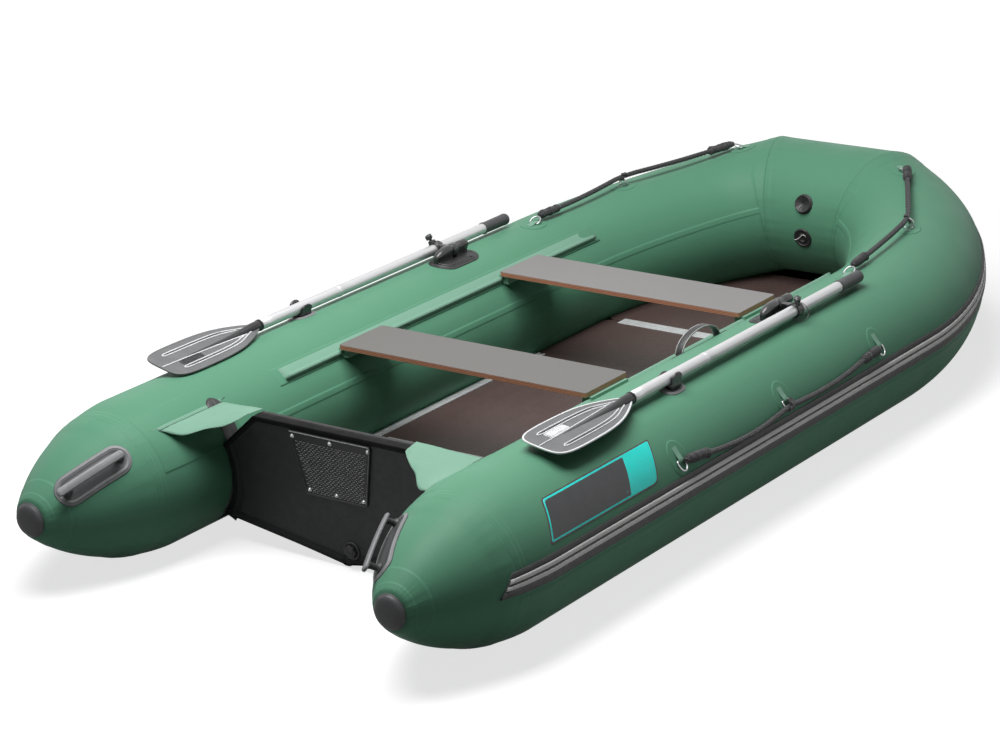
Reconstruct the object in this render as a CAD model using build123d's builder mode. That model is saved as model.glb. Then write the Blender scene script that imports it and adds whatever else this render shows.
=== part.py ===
"""Inflatable boat with a plywood floor, a wooden transom, two benches and two oars.

Frame: +Y towards the bow, +X to starboard, +Z up. The origin is on the ground under the middle
of the boat, which stands on its two side tubes. Lengths are in millimetres, angles in degrees.
"""
import os
from math import asin, atan, atan2, cos, degrees, pi, radians, sin, sqrt, tan

from build123d import *

os.makedirs("parts", exist_ok=True)

# ---------------------------------------------------------------- driving dimensions
LENGTH = 3300.0
BEAM = 1560.0
TUBE_R = 210.0

OGIVE_LEN = 400.0            # from the stern to where the side tubes begin to close
CONE_LEN = 265.0             # from the stern to the seam of the cone
CONE_TIP_R = 57.6
CAP_LEN = 18.0
CAP_R = 54.0
CAP_DOME = 12.0              # height of the cap's rounded end

BOW_RISE = 105.0             # height of the bow tube above the side tubes
BOW_TURN_1 = 34.0            # turn of the wide arc of the side tube towards the bow
BOW_TURN_2 = 63.0            # turn at the end of the tight arc that follows it
BOW_ARC_R = 1110.0           # radius of the wide arc
BOW_STUB = 60.0              # straight stub before the mitred seam
BOW_SEAM_X = 175.0           # where the tube axes meet at the seam

STRAKE_T = 5.0
STRAKE_LOW = -4.5            # angle of the rub strake's lower and upper edge on the tube
STRAKE_HIGH = 13.5
STRAKE_FROM_STERN = 225.0

SKIN_T = 5.0
KEEL_Z = 6.0
BOTTOM_RISE = 68.0           # height of the bottom's edges above the keel
SKIN_BEHIND = 34.6           # how far the bottom reaches aft of the transom's foot
SKIN_EDGE_IN = 145.0         # distance of the bottom's edge from the tube's axis
EDGE_INSIDE = 14.0           # how far the bottom's edge at the bow reaches into the tubes before it is cut
BOTTOM_BOW = ((24.0, 58.0, 16.0), (40.0, 72.0, 40.0), (51.6, 80.0, 62.0))   # turn, angle below, keel
BOTTOM_UNDER_BOW = 60.0      # how far it runs forward of the bow tube's axis
KEEL_STRIP_W = 70.0
KEEL_STRIP_T = 4.0

FLOOR_Z = 100.0              # top of the floor boards
BOARD_T = 12.0
FLOOR_FROM_FOOT = 43.4       # from the transom's foot to the first board
LAST_JOINER = 64.4           # forward of where the tubes begin to bend
AFT_BOARD_LESS = 50.0        # how much shorter the aftmost board is than the next two
FLOOR_SIDE_GAP = 0.6         # between the side stringers and the tubes
BOARD_CORNER_R = 30.0
JOINER_SIDE_GAP = 24.0
JOINER_W = 44.0
JOINER_FLANGE = 2.2
JOINER_WEB = 3.0
BOW_BOARD_BACK = 95.0        # aft of the bow tube's axis
BOW_BOARD_WIDER = 37.0       # half width of its front edge, more than that of the bow tube
BOW_BOARD_MID = (49.0, 404.4)    # inboard of the other boards' edge, forward of the bend
STRINGER_SHORT = 380.0       # how far the stringers end aft of the last joiner
STRINGER_LIP = 32.0
STRINGER_LOW_LIP = 24.0
STRINGER_WEB = 2.5
SEAT_GAP = 0.3               # clearance between pieces that rest on each other

TRANSOM_T = 38.0
TRANSOM_TOP_Z = 387.0
TRANSOM_TOP_IN = 320.0       # distance of the top's corners from the tube's axis
TRANSOM_SIDE_IN = 140.0      # the same of its sides, before they are cut to the tubes
TRANSOM_SHOULDER = 20.0      # height of its shoulders above the tube's axis
TRANSOM_FROM_STERN = 566.6   # aft face at ground height
TRANSOM_RAKE = 5.9
TRANSOM_CORNER_R = 18.0
FLANGE_T = 5.0
FLANGE_AFT = 106.6           # how far the flanges run aft and forward of the transom's foot
FLANGE_FORE = 38.4
FLANGE_HIGH = 36.0           # angle of the flanges' upper edge on the tube
PAD_TOP_Z = 372.0
PAD_BOTTOM_Z = 194.0
PAD_TOP_HALF = 136.0
PAD_BOTTOM_HALF = 100.0
PAD_T = 6.0
PAD_CORNER_R = 8.0
PLUG_X, PLUG_Z = 20.0, 55.0
PLUG_FLANGE_R = 24.0
PLUG_FLANGE_T = 4.0
PLUG_HEX_R = 15.0
PLUG_H = 14.0

GUSSET_T = 3.0
GUSSET_SLOPE = 5.7           # fall of the gusset from the transom to the tube
GUSSET_PLAN = ((-4, -3), (2, -59), (148, -207), (220, -179), (220, 23), (170, 43))   # from the transom's corner

RAIL_FROM_FOOT = 293.4       # from the transom's foot to the rail
RAIL_FORE_TURN = 3.4         # how far the rail follows the tube's first bow arc
RAIL_ANGLE = 135.0
RAIL_HALF_W = 5.5            # half width of the rail's foot, as an angle on the tube
RAIL_FOOT_T = 3.0
RAIL_NECK_W = 4.0
RAIL_BEAD_R = 4.5
RAIL_BEAD_H = 12.0           # height of the bead's centre above the tube

BENCH_OVER = 1.0             # how far the benches reach past the rails' beads
BENCH_W = 197.0
BENCH_T = 14.0
BENCH_LIFT = 9.0             # height of the bench's underside above the bead's centre
BENCH_CORNER_R = 10.0
BENCH_FROM_FOOT = 617.9      # from the transom's foot to the middle of the aft bench
BENCH_FROM_BEND = 348.6      # from the middle of the fore bench to where the tubes bend
RUNNER_LEN = 170.0
RUNNER_IN = 21.0             # how far the runner reaches inboard and outboard of the bead
RUNNER_OUT = 11.0
RUNNER_H = 26.0
RUNNER_GAP = 0.6

OAR_OUT = 48.0               # the shaft lies this far outboard of the tube's axis
OAR_LIFT = 25.0              # and this far above the tube's crown
SHAFT_R = 15.0
SHAFT_AFT = 833.0            # lengths along the oar, from the rowlock
GRIP_R = 17.5
GRIP_START = 197.0
GRIP_END = 315.0
BLADE_TILT = 9.0
BLADE_T = 4.0
BLADE_SOCKET_R = 18.0
BLADE_SOCKET_LEN = 46.0
BLADE_SPINE_LEN = 250.0
BLADE_SPINE_TIP_R = 4.0
BLADE_HALF_OUTLINE = ((14, -12), (30, -62), (60, -172), (74, -272), (74, -402), (52, -444))   # from the shaft's end
BLADE_CORNER_R = 26.0

PIVOT_IN = 10.0              # the rowlock's pin lies this far inboard of the tube's axis
PIVOT_LIFT = 27.0            # and this far above the crown
ROWLOCK_FROM_BEND = 440.6    # from the rowlock to where the tubes begin to bend
ROWLOCK_PIN_R = 7.0
PIN_CLEAR = 0.08
COLLAR_W = 22.0
COLLAR_R = 20.0
COLLAR_SIDE_GAP = 0.5
CLAMP_R = 21.0
KNOB_STEM_R = 4.0
KNOB_R = 10.0
KNOB_H = 14.0
KNOB_TOP = 58.0              # height of the knob above the shaft's axis
HOUSING_R = 23.0
HOUSING_AFT_LEN = 46.0
HOUSING_FORE_LEN = 40.0
HOUSING_DOME_R = 17.0
ROWLOCK_BASE_LEN = 168.0
ROWLOCK_BASE_W = 92.0
ROWLOCK_BASE_T = 6.0
ROWLOCK_BASE_IN = 7.0        # middle of the base, inboard of the pin

CLIP_FROM_ROWLOCK = 671.0
CLIP_LEN = 26.0
CLIP_WALL = 5.0
CLIP_ARM_H = 8.0             # how far the arms reach above the shaft's axis
CLIP_SIDE_GAP = 0.8
CLIP_FLARE = 2.5
CLIP_FLANGE_LEN = 84.0
CLIP_FLANGE_W = 60.0
CLIP_FLANGE_T = 4.0

HANDLE_FROM_STERN = 158.0
HANDLE_BASE_LEN = 262.0
HANDLE_BASE_W = 74.0
HANDLE_BASE_T = 4.0
HANDLE_BAR_R = 9.0
HANDLE_BAR_LEN = 176.0
HANDLE_BAR_H = 46.0
HANDLE_BEND_R = 18.0

PATCH_L, PATCH_W, PATCH_T = 96.0, 74.0, 2.5
RING_R, RING_WIRE_R = 15.0, 2.5
LOOP_W, LOOP_H = 20.0, 9.0   # webbing loop that holds a ring to its patch
SIDE_RING_YS = (-657.0, -140.0, 370.0)
SIDE_RING_ANGLE = 27.0
SIDE_HINGE = -9.0            # how far the side rings hang from above the middle of their patches
FIRST_BOW_RING = (73.6, 95.0)            # aft of the bend, angle on the tube
BOW_RING_SPOTS = ((20.0, 89.5), (59.0, 83.5))   # turn along the bow arcs, angle on the tube
BOW_RING_LEANS = (30.0, 90.0, 150.0)     # how far each stands up, from lying towards the bow
ROPE_R = 5.0
SIDE_LINE = ((772, -646, 296), (773, -598, 294), (775, -526, 281), (778, -421, 270), (779, -300, 267),
             (778, -205, 275), (777, -138, 284), (777, -60, 278), (777, 46, 274), (776, 160, 277),
             (773, 250, 287), (773, 310, 293), (772, 358, 296))
BOW_LINE = ((550, 600, 440), (540, 701, 442), (530, 802, 448), (521, 903, 457), (511, 1005, 470),
            (445, 1122, 481), (380, 1239, 495), (314, 1356, 514))

VALVE_ANGLES = (19.5, -10.5)
VALVE_FLANGE_R = 36.0
VALVE_FLANGE_T = 5.0
VALVE_CAP_R = 26.0
VALVE_CAP_H = 13.0

STRAP_AFT_Y, STRAP_FORE_Y = -182.0, 12.0
STRAP_IN = 112.0             # inboard of the tube's axis
STRAP_W = 25.0
STRAP_T = 3.0
STRAP_LIFT = 20.0            # top of the strap above the tube's crown
STRAP_FOOT = 40.0            # its feet below the crown

PLATE_LOW, PLATE_HIGH = 19.6, 46.0
PLATE_FROM_STERN = 445.0
PLATE_FROM_RING = 88.0       # aft of the aftmost side ring
PLATE_T = 1.5

EYE_PATCH_R = 55.0
EYE_RING_R, EYE_WIRE_R = 20.0, 4.0
EYE_ANGLE = -42.0            # angle below the front of the bow tube

# ---------------------------------------------------------------- places worked out from them
TUBE_X = BEAM / 2 - TUBE_R
CROWN_Z = 2 * TUBE_R
STERN_Y = -LENGTH / 2
CROSS_Y = LENGTH / 2 - TUBE_R
CROSS_Z = TUBE_R + BOW_RISE

OGIVE_START_Y = STERN_Y + OGIVE_LEN
CONE_SEAM_Y = STERN_Y + CONE_LEN
CAP_BASE_Y = STERN_Y + CAP_LEN
ogive_drop = TUBE_R - CONE_TIP_R
OGIVE_ARC_R = ((OGIVE_LEN - CAP_LEN) ** 2 + ogive_drop**2) / (2 * ogive_drop)
STRAKE_END_Y = STERN_Y + STRAKE_FROM_STERN
TRANSOM_FOOT_Y = STERN_Y + TRANSOM_FROM_STERN
SKIN_HALF = TUBE_X - SKIN_EDGE_IN
DEADRISE = BOTTOM_RISE / SKIN_HALF

# The side tube bends in a plane that is tilted, so that it rises as it turns inwards.
slant = Vector(BOW_SEAM_X - TUBE_X, 0, BOW_RISE)
slant_length = slant.length
inward = slant.normalized()
bend_axis = Vector(-inward.Z, 0, inward.X) * -1
turn_1, turn_2 = radians(BOW_TURN_1), radians(BOW_TURN_2)
arc_in_1 = BOW_ARC_R * (1 - cos(turn_1))
BOW_TIGHT_R = (slant_length - arc_in_1 - BOW_STUB * sin(turn_2)) / (cos(turn_1) - cos(turn_2))
bow_run = (BOW_ARC_R * sin(turn_1) + BOW_TIGHT_R * (sin(turn_2) - sin(turn_1)) + BOW_STUB * cos(turn_2))
BOW_START_Y = CROSS_Y - bow_run
bow_start = Vector(TUBE_X, BOW_START_Y, TUBE_R)
AHEAD = Vector(0, 1, 0)

FLOOR_AFT_Y = TRANSOM_FOOT_Y + FLOOR_FROM_FOOT
last_joiner_y = BOW_START_Y + LAST_JOINER
BOARD_LEN = (last_joiner_y - FLOOR_AFT_Y + AFT_BOARD_LESS) / 3
JOINER_YS = (last_joiner_y - 2 * BOARD_LEN, last_joiner_y - BOARD_LEN, last_joiner_y)
stringer_top = FLOOR_Z + SEAT_GAP + STRINGER_WEB
STRINGER_OUT_X = TUBE_X - sqrt(TUBE_R**2 - (TUBE_R - stringer_top) ** 2) - FLOOR_SIDE_GAP
BOARD_HALF = STRINGER_OUT_X - STRINGER_WEB - SEAT_GAP
ROWLOCK_Y = BOW_START_Y - ROWLOCK_FROM_BEND
PIVOT_X, PIVOT_Z = TUBE_X - PIVOT_IN, CROWN_Z + PIVOT_LIFT
OAR_X, OAR_Z = TUBE_X + OAR_OUT, CROWN_Z + OAR_LIFT
SHAFT_AFT_Y = ROWLOCK_Y - SHAFT_AFT


def turned(vector, turn):
    """A vector of the tube's section at the start of the bow, after a turn along the bend."""
    return vector.rotate(Axis((0, 0, 0), bend_axis), turn)


def bow_point(turn):
    """The tube's axis at a turn (degrees) along the two arcs."""
    angle = radians(turn)
    if turn <= BOW_TURN_1:
        return bow_start + inward * (BOW_ARC_R * (1 - cos(angle))) + AHEAD * (BOW_ARC_R * sin(angle))
    side = arc_in_1 + BOW_TIGHT_R * (cos(turn_1) - cos(angle))
    run = BOW_ARC_R * sin(turn_1) + BOW_TIGHT_R * (sin(angle) - sin(turn_1))
    return bow_start + inward * side + AHEAD * run


def bow_plane(turn):
    """Section plane of the starboard bow tube: x outboard, y up, normal pointing aft."""
    return Plane(origin=bow_point(turn), x_dir=turned(Vector(1, 0, 0), turn),
                 z_dir=turned(AHEAD, turn) * -1)


seam_point = Vector(BOW_SEAM_X, CROSS_Y, CROSS_Z)
stub_direction = turned(AHEAD, BOW_TURN_2)
mitre_plane = Plane(origin=seam_point, z_dir=(stub_direction + Vector(-1, 0, 0)).normalized())
wide_axis = Axis(bow_start + inward * BOW_ARC_R, bend_axis)
tight_axis = Axis(bow_point(BOW_TURN_1) + turned(inward, BOW_TURN_1) * BOW_TIGHT_R, bend_axis)
stub_reach = BOW_STUB + TUBE_R

# The strake's line crosses the seam at a place that sits higher round the cross tube.
outboard_at_seam = turned(Vector(1, 0, 0), BOW_TURN_2)
seam_normal = mitre_plane.z_dir
seam_crossing = outboard_at_seam - stub_direction * (outboard_at_seam.dot(seam_normal)
                                                     / stub_direction.dot(seam_normal))
CROSS_ROLL = degrees(atan2(seam_crossing.Z, seam_crossing.Y))


def tube_place(turn_or_y, angle, lift=0.0):
    """Point and directions (out, along) on the starboard tube.

    A pair ("y", value) is on the straight tube, a number is a turn along the bow arcs.
    """
    if isinstance(turn_or_y, tuple):
        centre, out_x, up, along = Vector(TUBE_X, turn_or_y[1], TUBE_R), Vector(1, 0, 0), Vector(0, 0, 1), AHEAD
    else:
        centre = bow_point(turn_or_y)
        out_x, up, along = (turned(v, turn_or_y) for v in (Vector(1, 0, 0), Vector(0, 0, 1), AHEAD))
    out = out_x * cos(radians(angle)) + up * sin(radians(angle))
    return centre + out * (TUBE_R + lift), out, along


def ogive_radius(y):
    """Radius of the side tube aft of the place where it starts to close."""
    return TUBE_R - OGIVE_ARC_R + sqrt(OGIVE_ARC_R**2 - (OGIVE_START_Y - y) ** 2)


def keep(builder, node):
    """Label a finished piece and write it."""
    builder.part.label = node
    export_step(builder.part, f"parts/{node}.step")


def keep_both(builder, node):
    """Write a starboard piece and its mirror image on the port side."""
    keep(builder, f"{node}_starboard")
    with BuildPart() as mirrored:
        mirror(builder.part, about=Plane.YZ)
    keep(mirrored, f"{node}_port")
    return mirrored


def both_in_one(builder):
    """A starboard piece and its mirror image as two solids of one node."""
    with BuildPart() as pair:
        add(builder.part)
        mirror(builder.part, about=Plane.YZ)
    return pair


def band(low, high, inner, outer, roll=0.0):
    """Sketch of a strip that lies on a circle, between two angles and two radii."""
    low, high = low + roll, high + roll
    with BuildLine() as outline:
        CenterArc((0, 0), inner, low, high - low)
        CenterArc((0, 0), outer, low, high - low)
        for angle in (low, high):
            Line((inner * cos(radians(angle)), inner * sin(radians(angle))),
                 (outer * cos(radians(angle)), outer * sin(radians(angle))))
    make_face(outline.edges())


side_section = Plane(origin=(TUBE_X, 0, TUBE_R), x_dir=(1, 0, 0), z_dir=(0, -1, 0))
cross_section = Plane(origin=(0, CROSS_Y, CROSS_Z), x_dir=(0, 1, 0), z_dir=(1, 0, 0))
side_profile = Plane(origin=(TUBE_X, 0, TUBE_R), x_dir=(0, 1, 0), z_dir=(1, 0, 0))
side_axis = Axis((TUBE_X, 0, TUBE_R), (0, 1, 0))


def sweep_bow_side(draw):
    """Sweep a section along the starboard bow tube, up to the mitred seam."""
    with BuildSketch(bow_plane(0)) as wide:
        draw(0.0)
    revolve(wide.sketch, axis=wide_axis, revolution_arc=BOW_TURN_1)
    with BuildSketch(bow_plane(BOW_TURN_1)) as tight:
        draw(0.0)
    revolve(tight.sketch, axis=tight_axis, revolution_arc=BOW_TURN_2 - BOW_TURN_1)
    with BuildSketch(bow_plane(BOW_TURN_2)) as stub:
        draw(0.0)
    extrude(stub.sketch, amount=-stub_reach)
    split(bisect_by=mitre_plane, keep=Keep.BOTTOM)


def sweep_cross(draw):
    """Sweep a section along the athwart bow tube, between the two mitred seams."""
    with BuildSketch(cross_section) as section:
        draw(CROSS_ROLL)
    extrude(section.sketch, amount=BOW_SEAM_X + TUBE_R, both=True)
    split(bisect_by=mitre_plane, keep=Keep.TOP)
    split(bisect_by=Plane(origin=(-BOW_SEAM_X, CROSS_Y, CROSS_Z),
                          z_dir=(-seam_normal.X, seam_normal.Y, seam_normal.Z)), keep=Keep.TOP)


def draw_tube(roll):
    Circle(TUBE_R)


def draw_tube_room(roll):
    Circle(TUBE_R + SEAT_GAP)


def draw_patch_skin(roll):
    Circle(TUBE_R + PATCH_T)


def draw_strake(roll):
    band(STRAKE_LOW, STRAKE_HIGH, TUBE_R, TUBE_R + STRAKE_T, roll)


# ---------------------------------------------------------------- buoyancy tubes
with BuildPart() as tube:
    with BuildSketch(side_profile):
        with BuildLine():
            turn = degrees(asin((OGIVE_START_Y - CONE_SEAM_Y) / OGIVE_ARC_R))
            Line((CONE_SEAM_Y, 0), (CONE_SEAM_Y, ogive_radius(CONE_SEAM_Y)))
            CenterArc((OGIVE_START_Y, TUBE_R - OGIVE_ARC_R), OGIVE_ARC_R, 90, turn)
            Line((OGIVE_START_Y, TUBE_R), (BOW_START_Y, TUBE_R))
            Line((BOW_START_Y, TUBE_R), (BOW_START_Y, 0))
            Line((BOW_START_Y, 0), (CONE_SEAM_Y, 0))
        make_face()
    revolve(axis=side_axis)
tube_port = keep_both(tube, "tube")

with BuildPart() as cone:
    with BuildSketch(side_profile):
        with BuildLine():
            start = 90 + degrees(asin((OGIVE_START_Y - CONE_SEAM_Y) / OGIVE_ARC_R))
            end = 90 + degrees(asin((OGIVE_START_Y - CAP_BASE_Y) / OGIVE_ARC_R))
            CenterArc((OGIVE_START_Y, TUBE_R - OGIVE_ARC_R), OGIVE_ARC_R, start, end - start)
            Line((CAP_BASE_Y, ogive_radius(CAP_BASE_Y)), (CAP_BASE_Y, 0))
            Line((CAP_BASE_Y, 0), (CONE_SEAM_Y, 0))
            Line((CONE_SEAM_Y, 0), (CONE_SEAM_Y, ogive_radius(CONE_SEAM_Y)))
        make_face()
    revolve(axis=side_axis)
cone_port = keep_both(cone, "cone")

with BuildPart() as cone_cap:
    with BuildSketch(side_profile):
        with BuildLine():
            shoulder = STERN_Y + CAP_DOME
            Line((CAP_BASE_Y, 0), (CAP_BASE_Y, CAP_R))
            Line((CAP_BASE_Y, CAP_R), (shoulder, CAP_R))
            dome_r = (CAP_R**2 + CAP_DOME**2) / (2 * CAP_DOME)
            CenterArc((STERN_Y + dome_r, 0), dome_r, 180 - degrees(asin(CAP_R / dome_r)),
                      degrees(asin(CAP_R / dome_r)))
            Line((STERN_Y, 0), (CAP_BASE_Y, 0))
        make_face()
    revolve(axis=side_axis)
keep_both(cone_cap, "cone_cap")

with BuildPart() as bow_side:
    sweep_bow_side(draw_tube)
bow_side_port = keep_both(bow_side, "bow_side")

with BuildPart() as bow_cross:
    sweep_cross(draw_tube)
keep(bow_cross, "bow_cross")

# ---------------------------------------------------------------- rub strake
low = radians(STRAKE_LOW)
strake_profile = Plane(origin=(TUBE_X, 0, TUBE_R), x_dir=(0, 1, 0), z_dir=(sin(low), 0, -cos(low)))
with BuildPart() as strake:
    with BuildSketch(strake_profile):
        with BuildLine():
            turn = degrees(asin((OGIVE_START_Y - STRAKE_END_Y) / OGIVE_ARC_R))
            arc_centre = (OGIVE_START_Y, TUBE_R - OGIVE_ARC_R)
            inner = CenterArc(arc_centre, OGIVE_ARC_R, 90, turn)
            outer = CenterArc(arc_centre, OGIVE_ARC_R + STRAKE_T, 90, turn)
            Line(inner @ 1, outer @ 1)
            Line((OGIVE_START_Y, TUBE_R), (BOW_START_Y, TUBE_R))
            Line((OGIVE_START_Y, TUBE_R + STRAKE_T), (BOW_START_Y, TUBE_R + STRAKE_T))
            Line((BOW_START_Y, TUBE_R), (BOW_START_Y, TUBE_R + STRAKE_T))
        make_face()
    revolve(axis=Axis((TUBE_X, 0, TUBE_R), (0, -1, 0)), revolution_arc=STRAKE_HIGH - STRAKE_LOW)
    sweep_bow_side(draw_strake)
keep_both(strake, "strake")

with BuildPart() as strake_bow:
    sweep_cross(draw_strake)
keep(strake_bow, "strake_bow")

# ---------------------------------------------------------------- bottom
def hull_stations():
    """Stations of the bottom's upper face, aft to fore: y, half width, edge height, keel height."""
    yield TRANSOM_FOOT_Y - SKIN_BEHIND, SKIN_HALF, KEEL_Z + BOTTOM_RISE, KEEL_Z
    yield BOW_START_Y, SKIN_HALF, KEEL_Z + BOTTOM_RISE, KEEL_Z
    for turn, below, keel in BOTTOM_BOW:
        centre = bow_point(turn)
        out, up = (turned(v, turn) for v in (Vector(1, 0, 0), Vector(0, 0, 1)))
        edge = centre - (out * cos(radians(below)) + up * sin(radians(below))) * (TUBE_R - EDGE_INSIDE)
        yield edge.Y, edge.X, edge.Z - SKIN_T, keel
    end_z = CROSS_Z - sqrt(TUBE_R**2 - BOTTOM_UNDER_BOW**2)
    yield CROSS_Y + BOTTOM_UNDER_BOW, BOW_SEAM_X, end_z, end_z - SKIN_T



def station(y, points):
    """Closed section of the bottom at one station."""
    with BuildSketch(Plane(origin=(0, y, 0), x_dir=(1, 0, 0), z_dir=(0, -1, 0))) as section:
        with BuildLine() as outline:
            Polyline(*points, close=True)
        make_face(outline.edges())
    return section.sketch


def skin_section(y, half, edge, keel):
    return station(y, ((-half, edge), (0, keel), (half, edge), (half, edge + SKIN_T), (0, keel + SKIN_T),
                       (-half, edge + SKIN_T)))


def strip_section(y, half, edge, keel):
    side = KEEL_STRIP_W / 2
    rise = (edge - keel) * side / half
    return station(y, ((0, keel), (side, keel + rise), (side, keel + rise - KEEL_STRIP_T),
                       (0, keel - KEEL_STRIP_T), (-side, keel + rise - KEEL_STRIP_T), (-side, keel + rise)))


stations = list(hull_stations())
with BuildPart() as bottom_skin:
    for aft, fore in zip(stations[:-1], stations[1:]):
        loft([skin_section(*aft), skin_section(*fore)], ruled=True)
    for piece in (tube, tube_port, bow_side, bow_side_port, bow_cross):
        add(piece.part, mode=Mode.SUBTRACT)
keep(bottom_skin, "bottom_skin")

with BuildPart() as keel_strip:
    for aft, fore in zip(stations[:-2], stations[1:-1]):
        loft([strip_section(*aft), strip_section(*fore)], ruled=True)
keep(keel_strip, "keel_strip")

# ---------------------------------------------------------------- floor
with BuildPart() as stringer:
    with BuildSketch(Plane(origin=(0, FLOOR_AFT_Y, 0), x_dir=(1, 0, 0), z_dir=(0, -1, 0))):
        outer = STRINGER_OUT_X
        low = FLOOR_Z - BOARD_T - SEAT_GAP
        high = FLOOR_Z + SEAT_GAP
        lip, low_lip = BOARD_HALF - STRINGER_LIP, BOARD_HALF - STRINGER_LOW_LIP
        with BuildLine():
            Polyline((low_lip, low - STRINGER_WEB), (outer, low - STRINGER_WEB),
                     (outer, high + STRINGER_WEB), (lip, high + STRINGER_WEB), (lip, high),
                     (outer - STRINGER_WEB, high), (outer - STRINGER_WEB, low), (low_lip, low), close=True)
        make_face()
    extrude(amount=-(last_joiner_y - STRINGER_SHORT - FLOOR_AFT_Y))
stringers = both_in_one(stringer)
keep(stringers, "stringers")

joiner_width = 2 * (BOARD_HALF - STRINGER_LIP - JOINER_SIDE_GAP)
with BuildPart() as joiners:
    for y in JOINER_YS:
        with Locations((0, y, high + JOINER_FLANGE / 2), (0, y, low - JOINER_FLANGE / 2)):
            Box(joiner_width, JOINER_W, JOINER_FLANGE)
        with Locations((0, y, (low + high) / 2)):
            Box(joiner_width, JOINER_WEB, high - low)
keep(joiners, "floor_joiners")

board_ends = [FLOOR_AFT_Y, *JOINER_YS]
board_gap = JOINER_WEB / 2 + SEAT_GAP
for number, (aft, fore) in enumerate(zip(board_ends[:-1], board_ends[1:]), start=1):
    y_low = aft + (board_gap if number > 1 else 0)
    with BuildPart() as board:
        with Locations((0, (y_low + fore - board_gap) / 2, FLOOR_Z - BOARD_T / 2)):
            Box(2 * BOARD_HALF, fore - board_gap - y_low, BOARD_T)
        fillet(board.edges().filter_by(Axis.Z), BOARD_CORNER_R)
    keep(board, f"floor_board_{number}")

with BuildPart() as tube_room:
    sweep_bow_side(draw_tube_room)
with BuildPart() as tube_room_port:
    mirror(tube_room.part, about=Plane.YZ)
with BuildPart() as bow_board:
    with BuildSketch(Plane.XY.offset(FLOOR_Z - BOARD_T)):
        with BuildLine():
            y_low = last_joiner_y + board_gap
            mid_x, mid_y = BOARD_HALF - BOW_BOARD_MID[0], BOW_START_Y + BOW_BOARD_MID[1]
            end_x, end_y = BOW_SEAM_X + BOW_BOARD_WIDER, CROSS_Y - BOW_BOARD_BACK
            Line((-BOARD_HALF, y_low), (BOARD_HALF, y_low))
            ThreePointArc((BOARD_HALF, y_low), (mid_x, mid_y), (end_x, end_y))
            Line((end_x, end_y), (-end_x, end_y))
            ThreePointArc((-end_x, end_y), (-mid_x, mid_y), (-BOARD_HALF, y_low))
        make_face()
        fillet(vertices().group_by(Axis.Y)[0], BOARD_CORNER_R)
    extrude(amount=BOARD_T)
    for keep_clear in (tube_room, tube_room_port):
        add(keep_clear.part, mode=Mode.SUBTRACT)
keep(bow_board, "floor_board_bow")

# ---------------------------------------------------------------- transom
rake = radians(TRANSOM_RAKE)
aft_face = Plane(origin=(0, TRANSOM_FOOT_Y, 0), x_dir=(1, 0, 0), z_dir=(0, -cos(rake), -sin(rake)))
fore_face = aft_face.offset(-TRANSOM_T)


def on_transom(z):
    """Distance up the raked face that reaches a height."""
    return z / cos(rake)


with BuildPart() as transom:
    with BuildSketch(aft_face):
        foot = KEEL_Z + SKIN_T + SEAT_GAP
        side_x, side_z = TUBE_X - TRANSOM_SIDE_IN, TUBE_R + TRANSOM_SHOULDER
        top_x = TUBE_X - TRANSOM_TOP_IN
        with BuildLine():
            Polyline((0, on_transom(foot)), (side_x, on_transom(foot + DEADRISE * side_x)),
                     (side_x, on_transom(side_z)), (top_x, on_transom(TRANSOM_TOP_Z)),
                     (-top_x, on_transom(TRANSOM_TOP_Z)), (-side_x, on_transom(side_z)),
                     (-side_x, on_transom(foot + DEADRISE * side_x)), close=True)
        make_face()
        fillet(vertices().group_by(Axis.Y)[-1], TRANSOM_CORNER_R)
    extrude(amount=-TRANSOM_T)
    for x in (-TUBE_X, TUBE_X):
        with Locations((x, TRANSOM_FOOT_Y, TUBE_R)):
            Cylinder(TUBE_R + FLANGE_T, BEAM, rotation=(90, 0, 0), mode=Mode.SUBTRACT)
keep(transom, "transom")

# The flanges reach down to where the bottom meets the tube.
slope = atan(DEADRISE)
height = TUBE_R - KEEL_Z - SKIN_T - DEADRISE * TUBE_X
flange_low = degrees(asin(height * cos(slope) / (TUBE_R + FLANGE_T)) + slope)
with BuildPart() as transom_flange:
    with BuildSketch(side_section.offset(FLANGE_AFT - TRANSOM_FOOT_Y)):
        band(180 - FLANGE_HIGH, 180 + flange_low, TUBE_R, TUBE_R + FLANGE_T)
    extrude(amount=-(FLANGE_FORE + FLANGE_AFT))
    add(bottom_skin.part, mode=Mode.SUBTRACT)
keep(both_in_one(transom_flange), "transom_flanges")

for node, plane, amount in (("motor_plate_outer", aft_face, PAD_T), ("motor_plate_inner", fore_face, -PAD_T)):
    with BuildPart() as plate:
        with BuildSketch(plane):
            with BuildLine():
                Polyline((-PAD_BOTTOM_HALF, on_transom(PAD_BOTTOM_Z)), (PAD_BOTTOM_HALF, on_transom(PAD_BOTTOM_Z)),
                         (PAD_TOP_HALF, on_transom(PAD_TOP_Z)), (-PAD_TOP_HALF, on_transom(PAD_TOP_Z)), close=True)
            make_face()
            fillet(vertices(), PAD_CORNER_R)
        extrude(amount=amount)
    keep(plate, node)

with BuildPart() as drain_plug:
    with BuildSketch(aft_face):
        with Locations((PLUG_X, on_transom(PLUG_Z))):
            Circle(PLUG_FLANGE_R)
    extrude(amount=PLUG_FLANGE_T)
    with BuildSketch(aft_face.offset(PLUG_FLANGE_T)):
        with Locations((PLUG_X, on_transom(PLUG_Z))):
            RegularPolygon(PLUG_HEX_R, 6)
    extrude(amount=PLUG_H - PLUG_FLANGE_T)
keep(drain_plug, "drain_plug")

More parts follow.
